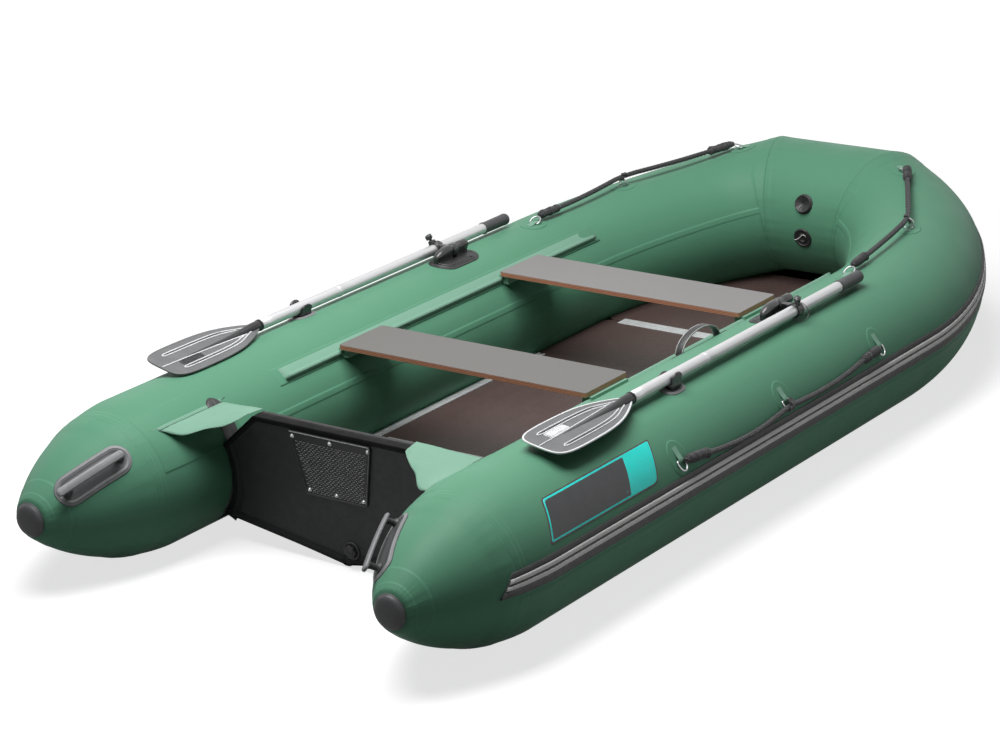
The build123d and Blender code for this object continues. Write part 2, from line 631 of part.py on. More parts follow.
gusset_plane = Plane(origin=(top_x, TRANSOM_FOOT_Y, TRANSOM_TOP_Z + TRANSOM_T * sin(rake) + SEAT_GAP),
                     x_dir=(cos(radians(GUSSET_SLOPE)), 0, -sin(radians(GUSSET_SLOPE))),
                     z_dir=(sin(radians(GUSSET_SLOPE)), 0, cos(radians(GUSSET_SLOPE))))
with BuildPart() as gusset:
    with BuildSketch(gusset_plane):
        with BuildLine():
            Polyline(*GUSSET_PLAN, close=True)
        make_face()
    extrude(amount=GUSSET_T)
    add(tube.part, mode=Mode.SUBTRACT)
keep_both(gusset, "gusset")

# ---------------------------------------------------------------- seat rails and benches
def draw_rail(roll):
    """Section of the rail: a glued foot, a neck and a bead that the bench's runner grips."""
    band(RAIL_ANGLE - RAIL_HALF_W, RAIL_ANGLE + RAIL_HALF_W, TUBE_R, TUBE_R + RAIL_FOOT_T)
    bead = TUBE_R + RAIL_BEAD_H
    side = radians(RAIL_ANGLE)
    middle = (TUBE_R + RAIL_FOOT_T / 2 + bead) / 2
    with Locations(Location((middle * cos(side), middle * sin(side), 0), RAIL_ANGLE)):
        Rectangle(bead - TUBE_R - RAIL_FOOT_T / 2, RAIL_NECK_W)
    with Locations((bead * cos(side), bead * sin(side))):
        Circle(RAIL_BEAD_R)


with BuildPart() as rail:
    rail_aft_y = TRANSOM_FOOT_Y + RAIL_FROM_FOOT
    with BuildSketch(side_section.offset(-rail_aft_y)) as straight:
        draw_rail(0.0)
    extrude(straight.sketch, amount=-(BOW_START_Y - rail_aft_y))
    with BuildSketch(bow_plane(0)) as curved:
        draw_rail(0.0)
    revolve(curved.sketch, axis=wide_axis, revolution_arc=RAIL_FORE_TURN)
keep(both_in_one(rail), "seat_rails")

bead_x = TUBE_X + (TUBE_R + RAIL_BEAD_H) * cos(radians(RAIL_ANGLE))
bead_z = TUBE_R + (TUBE_R + RAIL_BEAD_H) * sin(radians(RAIL_ANGLE))
bench_low = bead_z + BENCH_LIFT
for end, y in (("aft", TRANSOM_FOOT_Y + BENCH_FROM_FOOT), ("fore", BOW_START_Y - BENCH_FROM_BEND)):
    with BuildPart() as bench:
        with Locations((0, y, bench_low + BENCH_T / 2)):
            Box(2 * (bead_x + BENCH_OVER), BENCH_W, BENCH_T)
        fillet(bench.edges().filter_by(Axis.Z), BENCH_CORNER_R)
    keep(bench, f"bench_{end}")
    with BuildPart() as runner:
        with BuildSketch(Plane(origin=(0, y - RUNNER_LEN / 2, 0), x_dir=(1, 0, 0), z_dir=(0, -1, 0))):
            with Locations((bead_x + (RUNNER_OUT - RUNNER_IN) / 2, bench_low - RUNNER_H / 2)):
                Rectangle(RUNNER_OUT + RUNNER_IN, RUNNER_H)
            with Locations((TUBE_X, TUBE_R)):
                Circle(TUBE_R + RAIL_FOOT_T + RUNNER_GAP, mode=Mode.SUBTRACT)
            with Locations((bead_x, bead_z)):
                Circle(RAIL_BEAD_R + RUNNER_GAP, mode=Mode.SUBTRACT)
            with Locations(Location((bead_x - RAIL_BEAD_H / 2 * cos(radians(RAIL_ANGLE)),
                                     bead_z - RAIL_BEAD_H / 2 * sin(radians(RAIL_ANGLE)), 0), RAIL_ANGLE)):
                Rectangle(RAIL_BEAD_H, RAIL_NECK_W + 2 * RUNNER_GAP, mode=Mode.SUBTRACT)
        extrude(amount=-RUNNER_LEN)
    keep(both_in_one(runner), f"bench_{end}_runners")

# ---------------------------------------------------------------- rowlocks and oars
across = Plane(origin=(0, ROWLOCK_Y, 0), x_dir=(1, 0, 0), z_dir=(0, -1, 0))
slot_half = COLLAR_W / 2 + COLLAR_SIDE_GAP
with BuildPart() as rowlock:
    with BuildSketch(Plane.XY.offset(PIVOT_Z - TUBE_R)):
        with Locations((PIVOT_X - ROWLOCK_BASE_IN, ROWLOCK_Y + (HOUSING_FORE_LEN - HOUSING_AFT_LEN) / 2)):
            SlotOverall(ROWLOCK_BASE_LEN, ROWLOCK_BASE_W, rotation=90)
    extrude(amount=TUBE_R)
    with Locations((TUBE_X, ROWLOCK_Y, TUBE_R)):
        Cylinder(TUBE_R + ROWLOCK_BASE_T, BEAM, rotation=(90, 0, 0), mode=Mode.INTERSECT)
    for aft_end, length, dome in ((-slot_half - HOUSING_AFT_LEN, HOUSING_AFT_LEN, True),
                                  (slot_half, HOUSING_FORE_LEN, False)):
        with BuildPart(mode=Mode.PRIVATE) as housing:
            with BuildSketch(across.offset(-aft_end)):
                with Locations((PIVOT_X, PIVOT_Z)):
                    Circle(HOUSING_R)
                with Locations((PIVOT_X, PIVOT_Z - HOUSING_R)):
                    Rectangle(2 * HOUSING_R, 2 * HOUSING_R)
            extrude(amount=-length)
            if dome:
                fillet(housing.faces().sort_by(Axis.Y)[0].edges().sort_by(Axis.Z)[-1:], HOUSING_DOME_R)
        add(housing.part)
    with BuildSketch(across.offset(-slot_half)):
        with Locations((PIVOT_X, PIVOT_Z)):
            Circle(ROWLOCK_PIN_R)
    extrude(amount=2 * slot_half)
    with Locations((TUBE_X, ROWLOCK_Y, TUBE_R)):
        Cylinder(TUBE_R, BEAM, rotation=(90, 0, 0), mode=Mode.SUBTRACT)
keep_both(rowlock, "rowlock_base")

with BuildPart() as collar:
    with BuildSketch(across.offset(-COLLAR_W / 2)) as collar_section:
        with Locations((PIVOT_X, PIVOT_Z)):
            Circle(COLLAR_R)
        with Locations((OAR_X, OAR_Z)):
            Circle(CLAMP_R)
        with Locations(((PIVOT_X + OAR_X) / 2, (PIVOT_Z + OAR_Z) / 2)):
            Rectangle(OAR_X - PIVOT_X, COLLAR_R)
        with Locations((PIVOT_X, PIVOT_Z)):
            Circle(ROWLOCK_PIN_R + PIN_CLEAR, mode=Mode.SUBTRACT)
        with Locations((OAR_X, OAR_Z)):
            Circle(SHAFT_R, mode=Mode.SUBTRACT)
    extrude(amount=COLLAR_W)
    with BuildSketch(Plane.XY.offset(OAR_Z + SHAFT_R + (CLAMP_R - SHAFT_R) / 2)):
        with Locations((OAR_X, ROWLOCK_Y)):
            Circle(KNOB_STEM_R)
    extrude(amount=KNOB_TOP - SHAFT_R - (CLAMP_R - SHAFT_R) / 2 - KNOB_H / 2)
    with BuildSketch(Plane.XY.offset(OAR_Z + KNOB_TOP - KNOB_H)):
        with Locations((OAR_X, ROWLOCK_Y)):
            Circle(KNOB_R)
    extrude(amount=KNOB_H)
keep_both(collar, "oar_clamp")

with BuildPart() as shaft:
    with BuildSketch(Plane(origin=(OAR_X, SHAFT_AFT_Y, OAR_Z), x_dir=(1, 0, 0), z_dir=(0, -1, 0))):
        Circle(SHAFT_R)
    extrude(amount=-(GRIP_START + SHAFT_AFT))
keep_both(shaft, "oar_shaft")

with BuildPart() as grip:
    with BuildSketch(Plane(origin=(OAR_X, ROWLOCK_Y + GRIP_START, OAR_Z), x_dir=(1, 0, 0), z_dir=(0, -1, 0))):
        Circle(GRIP_R)
    extrude(amount=-(GRIP_END - GRIP_START))
    fillet(grip.faces().sort_by(Axis.Y)[-1].edges(), GRIP_R / 3)
keep_both(grip, "oar_grip")

tilt = radians(BLADE_TILT)
blade_plane = Plane(origin=(OAR_X, SHAFT_AFT_Y, OAR_Z), x_dir=(cos(tilt), 0, -sin(tilt)), z_dir=(sin(tilt), 0, cos(tilt)))
with BuildPart() as blade:
    with BuildSketch(blade_plane.offset(-BLADE_T / 2)):
        with BuildLine():
            Polyline(*BLADE_HALF_OUTLINE, *[(-x, y) for x, y in reversed(BLADE_HALF_OUTLINE)], close=True)
        make_face()
        fillet(vertices().group_by(Axis.Y)[0], BLADE_CORNER_R)
    extrude(amount=BLADE_T)
    with BuildSketch(Plane(origin=(OAR_X, SHAFT_AFT_Y, OAR_Z), x_dir=(1, 0, 0), z_dir=(0, -1, 0))):
        Circle(BLADE_SOCKET_R)
    extrude(amount=BLADE_SOCKET_LEN)
    with BuildSketch(Plane(origin=(OAR_X, SHAFT_AFT_Y - BLADE_SOCKET_LEN, OAR_Z), x_dir=(1, 0, 0), z_dir=(0, -1, 0))):
        Circle(BLADE_SOCKET_R)
    with BuildSketch(Plane(origin=(OAR_X, SHAFT_AFT_Y - BLADE_SOCKET_LEN - BLADE_SPINE_LEN, OAR_Z),
                           x_dir=(1, 0, 0), z_dir=(0, -1, 0))):
        Circle(BLADE_SPINE_TIP_R)
    loft()
keep_both(blade, "oar_blade")

clip_y = ROWLOCK_Y - CLIP_FROM_ROWLOCK
with BuildPart() as clip:
    with BuildSketch(Plane.XY.offset(TUBE_R)):
        with Locations((OAR_X, clip_y)):
            SlotOverall(CLIP_FLANGE_LEN, CLIP_FLANGE_W, rotation=90)
    extrude(amount=OAR_Z)
    with Locations((TUBE_X, clip_y, TUBE_R)):
        Cylinder(TUBE_R + CLIP_FLANGE_T, BEAM, rotation=(90, 0, 0), mode=Mode.INTERSECT)
    with BuildSketch(Plane(origin=(OAR_X, clip_y - CLIP_LEN / 2, OAR_Z), x_dir=(1, 0, 0), z_dir=(0, -1, 0))):
        inner_r = SHAFT_R + SEAT_GAP
        half_gap = SHAFT_R + CLIP_SIDE_GAP
        Circle(inner_r + CLIP_WALL)
        with Locations((0, CLIP_ARM_H / 2)):
            Rectangle(2 * (half_gap + CLIP_WALL), CLIP_ARM_H)
        with Locations((0, CLIP_ARM_H + inner_r)):
            Rectangle(4 * inner_r, 2 * inner_r, mode=Mode.SUBTRACT)
        with Locations((0, -inner_r)):
            Rectangle(2 * CLIP_WALL + SHAFT_R, 2 * inner_r)
        Circle(inner_r, mode=Mode.SUBTRACT)
        with BuildLine():
            Polyline((-half_gap, 0), (half_gap, 0), (half_gap + CLIP_FLARE, CLIP_ARM_H),
                     (-half_gap - CLIP_FLARE, CLIP_ARM_H), close=True)
        make_face(mode=Mode.SUBTRACT)
    extrude(amount=-CLIP_LEN)
    with Locations((TUBE_X, clip_y, TUBE_R)):
        Cylinder(TUBE_R, BEAM, rotation=(90, 0, 0), mode=Mode.SUBTRACT)
keep(both_in_one(clip), "oar_clips")

# ---------------------------------------------------------------- stern handles
handle_y = STERN_Y + HANDLE_FROM_STERN
handle_turn = asin((OGIVE_START_Y - handle_y) / OGIVE_ARC_R)
handle_out = Vector(-sqrt(0.5) * cos(handle_turn), -sin(handle_turn), sqrt(0.5) * cos(handle_turn))
handle_along = Vector(-sqrt(0.5) * sin(handle_turn), cos(handle_turn), sqrt(0.5) * sin(handle_turn))
handle_foot = Vector(TUBE_X, handle_y, TUBE_R) + Vector(-sqrt(0.5), 0, sqrt(0.5)) * ogive_radius(handle_y)
handle_plane = Plane(origin=handle_foot, x_dir=handle_along, z_dir=handle_out)
with BuildPart() as handle:
    with BuildSketch(handle_plane.offset(-TUBE_R / 2)):
        SlotOverall(HANDLE_BASE_LEN, HANDLE_BASE_W)
    extrude(amount=TUBE_R)
    with BuildPart(mode=Mode.PRIVATE) as cover:
        with BuildSketch(side_profile):
            with BuildLine():
                turn = degrees(asin((OGIVE_START_Y - CAP_BASE_Y) / OGIVE_ARC_R))
                arc_centre = (OGIVE_START_Y, TUBE_R - OGIVE_ARC_R)
                cover_inner = CenterArc(arc_centre, OGIVE_ARC_R, 90, turn)
                cover_outer = CenterArc(arc_centre, OGIVE_ARC_R + HANDLE_BASE_T, 90, turn)
                Line(cover_inner @ 0, cover_outer @ 0)
                Line(cover_inner @ 1, cover_outer @ 1)
            make_face()
        revolve(axis=side_axis)
    add(cover.part, mode=Mode.INTERSECT)
    with BuildLine():
        half = HANDLE_BAR_LEN / 2
        corners = [handle_plane.from_local_coords(Vector(x, 0, h))
                   for x, h in ((-half, -HANDLE_BAR_H), (-half, HANDLE_BAR_H), (half, HANDLE_BAR_H),
                                (half, -HANDLE_BAR_H))]
        FilletPolyline(*corners, radius=HANDLE_BEND_R)
    with BuildSketch(Plane(origin=corners[0], z_dir=handle_out)):
        Circle(HANDLE_BAR_R)
    sweep()
    add(cone.part, mode=Mode.SUBTRACT)
    add(tube.part, mode=Mode.SUBTRACT)
keep_both(handle, "stern_handle")

# ---------------------------------------------------------------- grab lines, their rings and patches
def stand_patch(place, patch):
    """Block of a patch's outline that stands through the tube's skin, to be cut to the skin later."""
    with BuildSketch(place.offset(-TUBE_R / 4)) as outline:
        patch()
    extrude(outline.sketch, amount=TUBE_R / 2)


def webbing_loop(place, hinge, lean, ring_r=RING_R, wire_r=RING_WIRE_R):
    """Loop that holds a ring's wire, with room for the wire.

    place lies on the tube with x along the way the ring hangs and z outwards. hinge is where along x
    the loop stands, and lean is the angle at which the ring stands up from the patch.
    """
    loop_plane = Plane(origin=place.from_local_coords(Vector(hinge, 0, -PATCH_W)), x_dir=place.x_dir,
                       z_dir=place.z_dir)
    with BuildSketch(loop_plane) as webbing:
        Rectangle(LOOP_H, LOOP_W)
    extrude(webbing.sketch, amount=PATCH_W + 2 * PATCH_T + SEAT_GAP + 2 * (wire_r + SEAT_GAP))
    with Locations(ring_location(place, hinge, lean, ring_r, wire_r)):
        Torus(ring_r, wire_r + SEAT_GAP, mode=Mode.SUBTRACT)


def ring_location(place, hinge, lean, ring_r=RING_R, wire_r=RING_WIRE_R):
    """Where a ring's centre and plane are, hung in the loop of its patch."""
    held = place.from_local_coords(Vector(hinge, 0, PATCH_T + 2 * SEAT_GAP + wire_r))
    reach = place.x_dir * cos(radians(lean)) + place.z_dir * sin(radians(lean))
    return Location(Plane(origin=held + reach * ring_r, x_dir=reach, z_dir=reach.cross(place.y_dir)))


def side_place(y):
    point, out, along = tube_place(("y", y), SIDE_RING_ANGLE)
    return Plane(origin=point, x_dir=along.cross(out), z_dir=out)


def bow_place(spot, angle):
    point, out, along = tube_place(spot, angle)
    return Plane(origin=point, x_dir=along, z_dir=out)


def side_patch():
    SlotOverall(PATCH_L, PATCH_W)


def bow_patch():
    SlotOverall(PATCH_L, PATCH_W, rotation=90)


held_rings = [(side_place(y), side_patch, SIDE_HINGE, 0.0) for y in SIDE_RING_YS]
bow_spots = [(("y", BOW_START_Y - FIRST_BOW_RING[0]), FIRST_BOW_RING[1]), *BOW_RING_SPOTS]
held_rings += [(bow_place(*spot), bow_patch, 0.0, lean) for spot, lean in zip(bow_spots, BOW_RING_LEANS)]
with BuildPart() as patch_skin:
    with Locations((TUBE_X, BOW_START_Y / 2, TUBE_R)):
        Cylinder(TUBE_R + PATCH_T, 2 * (CROSS_Y + BOW_START_Y / 2), rotation=(90, 0, 0))
    split(bisect_by=Plane(origin=(0, BOW_START_Y, 0), z_dir=(0, 1, 0)), keep=Keep.BOTTOM)
    sweep_bow_side(draw_patch_skin)
finished_patches = []
for place, patch, hinge, lean in held_rings:
    with BuildPart() as ring_patch:
        stand_patch(place, patch)
        add(patch_skin.part, mode=Mode.INTERSECT)
        webbing_loop(place, hinge, lean)
        add(tube.part, mode=Mode.SUBTRACT)
        add(bow_side.part, mode=Mode.SUBTRACT)
    finished_patches.append(ring_patch.part)
with BuildPart() as patches:
    add(finished_patches)
keep(both_in_one(patches), "ring_patches")

with BuildPart() as rings:
    for place, patch, hinge, lean in held_rings:
        with Locations(ring_location(place, hinge, lean)):
            Torus(RING_R, RING_WIRE_R)
keep(both_in_one(rings), "line_rings")


def corner_radii(points):
    """Largest arcs that each corner of a rope's route has room for."""
    corners = [Vector(*point) for point in points]
    for before, here, after in zip(corners[:-2], corners[1:-1], corners[2:]):
        into, onward = here - before, after - here
        yield 0.45 * min(into.length, onward.length) / tan(radians(into.get_angle(onward)) / 2)


for node, route in (("grab_line_side", SIDE_LINE), ("grab_line_bow", BOW_LINE)):
    radii = list(corner_radii(route))
    with BuildPart() as line:
        with BuildLine() as path:
            FilletPolyline(*route, radius=radii)
        first_run = Vector(*route[1]) - Vector(*route[0])
        with BuildSketch(Plane(origin=route[0], z_dir=first_run)):
            Circle(ROPE_R)
        sweep()
    rope_length = sum(edge.length for edge in path.edges())
    print(node, "length", round(rope_length), "radii", [round(radius) for radius in radii])
    print(node, "volume over section times length", round(line.part.volume / (pi * ROPE_R**2 * rope_length), 4))
    keep_both(line, node)

# ---------------------------------------------------------------- fittings on the tubes
with BuildPart() as valves:
    for angle in VALVE_ANGLES:
        up, aft = sin(radians(angle)), -cos(radians(angle))
        face = Plane(origin=(0, CROSS_Y + TUBE_R * aft, CROSS_Z + TUBE_R * up), x_dir=(1, 0, 0), z_dir=(0, aft, up))
        with BuildSketch(face.offset(-VALVE_FLANGE_R)):
            Circle(VALVE_FLANGE_R)
        extrude(amount=VALVE_FLANGE_R + VALVE_FLANGE_T)
        with BuildSketch(face.offset(VALVE_FLANGE_T)):
            Circle(VALVE_CAP_R)
        extrude(amount=VALVE_CAP_H - VALVE_FLANGE_T)
    add(bow_cross.part, mode=Mode.SUBTRACT)
keep(valves, "valves")

with BuildPart() as strap:
    with BuildSketch(Plane(origin=(TUBE_X - STRAP_IN - STRAP_W / 2, 0, CROWN_Z), x_dir=(0, 1, 0), z_dir=(1, 0, 0))):
        with BuildLine():
            middle = (STRAP_AFT_Y + STRAP_FORE_Y) / 2
            outside = ThreePointArc((STRAP_AFT_Y, -STRAP_FOOT), (middle, STRAP_LIFT), (STRAP_FORE_Y, -STRAP_FOOT))
            inside = ThreePointArc((STRAP_AFT_Y + STRAP_T, -STRAP_FOOT), (middle, STRAP_LIFT - STRAP_T),
                                   (STRAP_FORE_Y - STRAP_T, -STRAP_FOOT))
            Line(outside @ 0, inside @ 0)
            Line(outside @ 1, inside @ 1)
        make_face()
    extrude(amount=STRAP_W)
    add(tube.part, mode=Mode.SUBTRACT)
keep(strap, "grab_strap")

with BuildPart() as label_plate:
    with BuildSketch(side_section.offset(-(STERN_Y + PLATE_FROM_STERN))):
        band(PLATE_LOW, PLATE_HIGH, TUBE_R, TUBE_R + PLATE_T)
    extrude(amount=-(SIDE_RING_YS[0] - PLATE_FROM_RING - STERN_Y - PLATE_FROM_STERN))
keep(both_in_one(label_plate), "blank_plates")

eye_front, eye_up = cos(radians(EYE_ANGLE)), sin(radians(EYE_ANGLE))
eye_place = Plane(origin=(0, CROSS_Y + TUBE_R * eye_front, CROSS_Z + TUBE_R * eye_up),
                  x_dir=(0, eye_up, -eye_front), z_dir=(0, eye_front, eye_up))


def eye_patch():
    Circle(EYE_PATCH_R)


with BuildPart() as bow_eye:
    stand_patch(eye_place, eye_patch)
    with Locations((0, CROSS_Y, CROSS_Z)):
        Cylinder(TUBE_R + PATCH_T, BEAM, rotation=(0, 90, 0), mode=Mode.INTERSECT)
    webbing_loop(eye_place, 0.0, 0.0, EYE_RING_R, EYE_WIRE_R)
    add(bow_cross.part, mode=Mode.SUBTRACT)
    with Locations(ring_location(eye_place, 0.0, 0.0, EYE_RING_R, EYE_WIRE_R)):
        Torus(EYE_RING_R, EYE_WIRE_R)
keep(bow_eye, "bow_eye")
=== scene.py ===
import math

import bmesh
import bpy
import numpy as np
from mathutils import Matrix, Vector, noise


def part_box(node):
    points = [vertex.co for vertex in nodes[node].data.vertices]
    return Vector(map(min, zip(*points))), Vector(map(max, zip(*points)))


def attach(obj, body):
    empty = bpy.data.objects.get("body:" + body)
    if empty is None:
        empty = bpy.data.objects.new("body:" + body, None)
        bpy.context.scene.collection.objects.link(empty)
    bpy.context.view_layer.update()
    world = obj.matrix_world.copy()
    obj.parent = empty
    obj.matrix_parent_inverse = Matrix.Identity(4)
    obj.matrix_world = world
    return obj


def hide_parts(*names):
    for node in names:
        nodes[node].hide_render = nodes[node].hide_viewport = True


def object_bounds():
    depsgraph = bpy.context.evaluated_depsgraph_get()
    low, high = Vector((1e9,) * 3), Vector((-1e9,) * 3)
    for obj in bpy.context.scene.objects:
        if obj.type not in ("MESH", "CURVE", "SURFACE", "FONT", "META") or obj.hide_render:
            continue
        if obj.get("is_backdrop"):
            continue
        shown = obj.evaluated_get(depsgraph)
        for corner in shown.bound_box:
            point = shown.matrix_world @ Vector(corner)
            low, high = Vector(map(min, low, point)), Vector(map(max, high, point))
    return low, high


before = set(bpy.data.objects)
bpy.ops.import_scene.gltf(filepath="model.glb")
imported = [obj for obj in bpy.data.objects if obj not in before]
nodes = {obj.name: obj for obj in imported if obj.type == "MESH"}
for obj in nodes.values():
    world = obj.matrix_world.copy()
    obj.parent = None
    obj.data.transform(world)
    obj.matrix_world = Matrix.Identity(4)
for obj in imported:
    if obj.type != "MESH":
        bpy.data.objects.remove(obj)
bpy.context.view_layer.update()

scene = bpy.context.scene

# ------------------------------------------------------------------ the hull's measures, from the frame
tube_low, tube_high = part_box("tube_starboard")
cross_low, cross_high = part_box("bow_cross")
cap_low, cap_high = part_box("cone_cap_starboard")
TUBE_R = (tube_high.z - tube_low.z) / 2
TUBE_X = (tube_low.x + tube_high.x) / 2
CONE_SEAM_Y, BEND_Y = tube_low.y, tube_high.y
CROSS_Y, CROSS_Z = (cross_low.y + cross_high.y) / 2, (cross_low.z + cross_high.z) / 2
STERN_Y = cap_low.y
CAP_BASE_Y = cap_high.y
OGIVE_Y, OGIVE_R = STERN_Y + 0.400, 0.555
TURN_1, TURN_2 = math.radians(34), math.radians(63)
WIDE_R, STUB, SEAM_X = 1.110, 0.060, 0.175
LIGHT = 0.0012                       # thickness of a welded layer of fabric

slant = Vector((SEAM_X - TUBE_X, 0, CROSS_Z - TUBE_R))
INWARD = slant.normalized()
BEND_AXIS = Vector((INWARD.z, 0, -INWARD.x))
TIGHT_R = ((slant.length - WIDE_R * (1 - math.cos(TURN_1)) - STUB * math.sin(TURN_2))
           / (math.cos(TURN_1) - math.cos(TURN_2)))
OUT, UP, AHEAD = Vector((1, 0, 0)), Vector((0, 0, 1)), Vector((0, 1, 0))
BEND_END = BEND_Y + TURN_1 * WIDE_R + (TURN_2 - TURN_1) * TIGHT_R


def cone_share(y):
    """0 where the tube starts to close, 1 at its end."""
    return max(0.0, (OGIVE_Y - y) / (OGIVE_Y - STERN_Y))


def tube_radius(y):
    """Radius of the side tube, which closes towards the stern."""
    if y >= OGIVE_Y:
        return TUBE_R
    slimmer = 0.010 * math.sin(0.75 * math.pi * cone_share(y))
    return TUBE_R - OGIVE_R + math.sqrt(OGIVE_R**2 - (OGIVE_Y - y) ** 2) - slimmer


def tube_frame(s):
    """Centre, directions and radius of the starboard tube at s, which is y as far as the bend."""
    run = s - BEND_Y
    if run <= 0:
        return Vector((TUBE_X + 0.011 * cone_share(s) ** 2, s, TUBE_R)), OUT, UP, AHEAD, tube_radius(s)
    turn = min(run / WIDE_R, TURN_1)
    centre = Vector((TUBE_X, BEND_Y, TUBE_R))
    centre += INWARD * (WIDE_R * (1 - math.cos(turn))) + AHEAD * (WIDE_R * math.sin(turn))
    rest = run - TURN_1 * WIDE_R
    if rest > 0:
        turn = min(TURN_1 + rest / TIGHT_R, TURN_2)
        centre += INWARD * (TIGHT_R * (math.cos(TURN_1) - math.cos(turn)))
        centre += AHEAD * (TIGHT_R * (math.sin(turn) - math.sin(TURN_1)))
    spin = Matrix.Rotation(turn, 3, BEND_AXIS)
    along = spin @ AHEAD
    beyond = rest - (TURN_2 - TURN_1) * TIGHT_R
    if beyond > 0:
        centre += along * beyond
    return centre, spin @ OUT, spin @ UP, along, TUBE_R


def on_tube(s, angle, lift=0.0):
    """A point on the starboard tube, and the direction out of it. Angle 0 is outboard and 90 is up."""
    centre, out, up, along, radius = tube_frame(s)
    way = out * math.cos(math.radians(angle)) + up * math.sin(math.radians(angle))
    return centre + way * (radius + lift), way


def turn_s(turn):
    """The place s of a turn (degrees) along the two arcs."""
    turn = math.radians(turn)
    if turn <= TURN_1:
        return BEND_Y + turn * WIDE_R
    return BEND_Y + TURN_1 * WIDE_R + (turn - TURN_1) * TIGHT_R


# ------------------------------------------------------------------ the camera
AZIMUTH, ELEVATION, ROLL = math.radians(36.57), math.radians(19.06), -0.04494
CAMERA_AT = Vector((4.77571, -6.81525, 3.09915))
LENS = 111.3                         # millimetres, on a sensor 36 mm wide
back = Vector((math.sin(AZIMUTH) * math.cos(ELEVATION), -math.cos(AZIMUTH) * math.cos(ELEVATION),
               math.sin(ELEVATION)))
right = (-back).cross(UP).normalized()
upward = right.cross(-back)
right, upward = (right * math.cos(ROLL) + upward * math.sin(ROLL),
                 upward * math.cos(ROLL) - right * math.sin(ROLL))
camera = bpy.data.objects.new("camera", bpy.data.cameras.new("camera"))
camera.data.sensor_width = 36.0
camera.data.lens = LENS
camera.data.clip_end = 100
camera.matrix_world = Matrix.Translation(CAMERA_AT) @ Matrix((right, upward, back)).transposed().to_4x4()
scene.collection.objects.link(camera)
scene.camera = camera


# ------------------------------------------------------------------ making meshes
def add_piece(name, points, faces, materials, body="hull", slot=None, which=None, smooth=True, uvs=None,
              replaces=()):
    """A mesh piece that rides on a body. which gives each face's material."""
    mesh = bpy.data.meshes.new(name)
    mesh.from_pydata([tuple(p) for p in points], [], [tuple(f) for f in faces])
    turned_out = bmesh.new()
    turned_out.from_mesh(mesh)
    bmesh.ops.recalc_face_normals(turned_out, faces=turned_out.faces)
    turned_out.to_mesh(mesh)
    turned_out.free()
    for one in materials if isinstance(materials, (list, tuple)) else [materials]:
        mesh.materials.append(one)
    if which is not None:
        mesh.polygons.foreach_set("material_index", which)
    mesh.polygons.foreach_set("use_smooth", [smooth] * len(mesh.polygons))
    if uvs is not None:
        layer = mesh.uv_layers.new(name="fabric")
        loops = np.zeros(len(mesh.loops), int)
        mesh.loops.foreach_get("vertex_index", loops)
        layer.data.foreach_set("uv", np.asarray(uvs, np.float32)[loops].ravel())
    mesh.validate()
    mesh.update()
    piece = bpy.data.objects.new(name, mesh)
    scene.collection.objects.link(piece)
    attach(piece, body)
    if replaces:
        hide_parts(*replaces)
    return piece


def add_shape(name, shape, materials, **more):
    """The piece of a shape."""
    return add_piece(name, shape.points, shape.faces, materials, **more)


def mirrored(points, faces):
    """The port twin of a starboard mesh."""
    return [(-p[0], p[1], p[2]) for p in points], [tuple(reversed(f)) for f in faces]


def add_both(name, points, faces, materials, bodies=("hull", "hull"), replaces=(), **more):
    """A starboard piece and its port twin, each standing for the CAD nodes of its side."""
    pieces = []
    for side, body, mesh in zip(("starboard", "port"), bodies, ((points, faces), mirrored(points, faces))):
        stands_for = [f"{node_name}_{side}" for node_name in replaces]
        pieces.append(add_piece(f"{name}_{side}", *mesh, materials, body, replaces=stands_for, **more))
    return pieces


class Shape:
    """Gathers the points and faces of one piece."""

    def __init__(self):
        self.points, self.faces, self.which, self.uvs = [], [], [], []

    def add(self, points, faces, which=0, uvs=None):
        start = len(self.points)
        self.points += [tuple(p) for p in points]
        self.faces += [tuple(i + start for i in f) for f in faces]
        self.which += [which] * len(faces) if isinstance(which, int) else list(which)
        self.uvs += [(0.0, 0.0)] * len(points) if uvs is None else list(uvs)
        return self

    def both_sides(self):
        """Adds the port mirror image to the shape."""
        points, faces = mirrored(self.points, self.faces)
        return self.add(points, faces, list(self.which), list(self.uvs))


def grid(rows, columns, round_columns=True, ends=True):
    """Faces of a grid of points, row by row, with its first and last rows closed by one face each."""
    faces = []
    wrap = columns if round_columns else columns - 1
    for r in range(rows - 1):
        for c in range(wrap):
            d = (c + 1) % columns
            faces.append((r * columns + c, r * columns + d, (r + 1) * columns + d, (r + 1) * columns + c))
    if ends:
        faces.append(tuple(reversed(range(columns))))
        faces.append(tuple((rows - 1) * columns + c for c in range(columns)))
    return faces


def spun(profile, origin, axis, side, turns):
    """A turned shape. The profile is (radius, height along the axis), from one end to the other."""
    axis = Vector(axis).normalized()
    side = (Vector(side) - axis * Vector(side).dot(axis)).normalized()
    other = axis.cross(side)
    points = []
    for radius, height in profile:
        for k in range(turns):
            angle = 2 * math.pi * k / turns
            points.append(Vector(origin) + axis * height
                          + (side * math.cos(angle) + other * math.sin(angle)) * max(radius, 1e-5))
    return points, grid(len(profile), turns)


def swept(section, frames):
    """A section (a, b) carried through frames (origin, direction of a, direction of b)."""
    points = [origin + da * a + db * b for origin, da, db in frames for a, b in section]
    return points, grid(len(frames), len(section))


def path_frames(line):
    """Frames along a line of points, turned as little as possible from one to the next."""
    line = [Vector(p) for p in line]
    frames, across = [], None
    for k, here in enumerate(line):
        ahead = (line[min(k + 1, len(line) - 1)] - line[max(k - 1, 0)]).normalized()
        if across is None:
            across = ahead.orthogonal()
        across = (across - ahead * across.dot(ahead)).normalized()
        frames.append((here, across, ahead.cross(across)))
    return frames


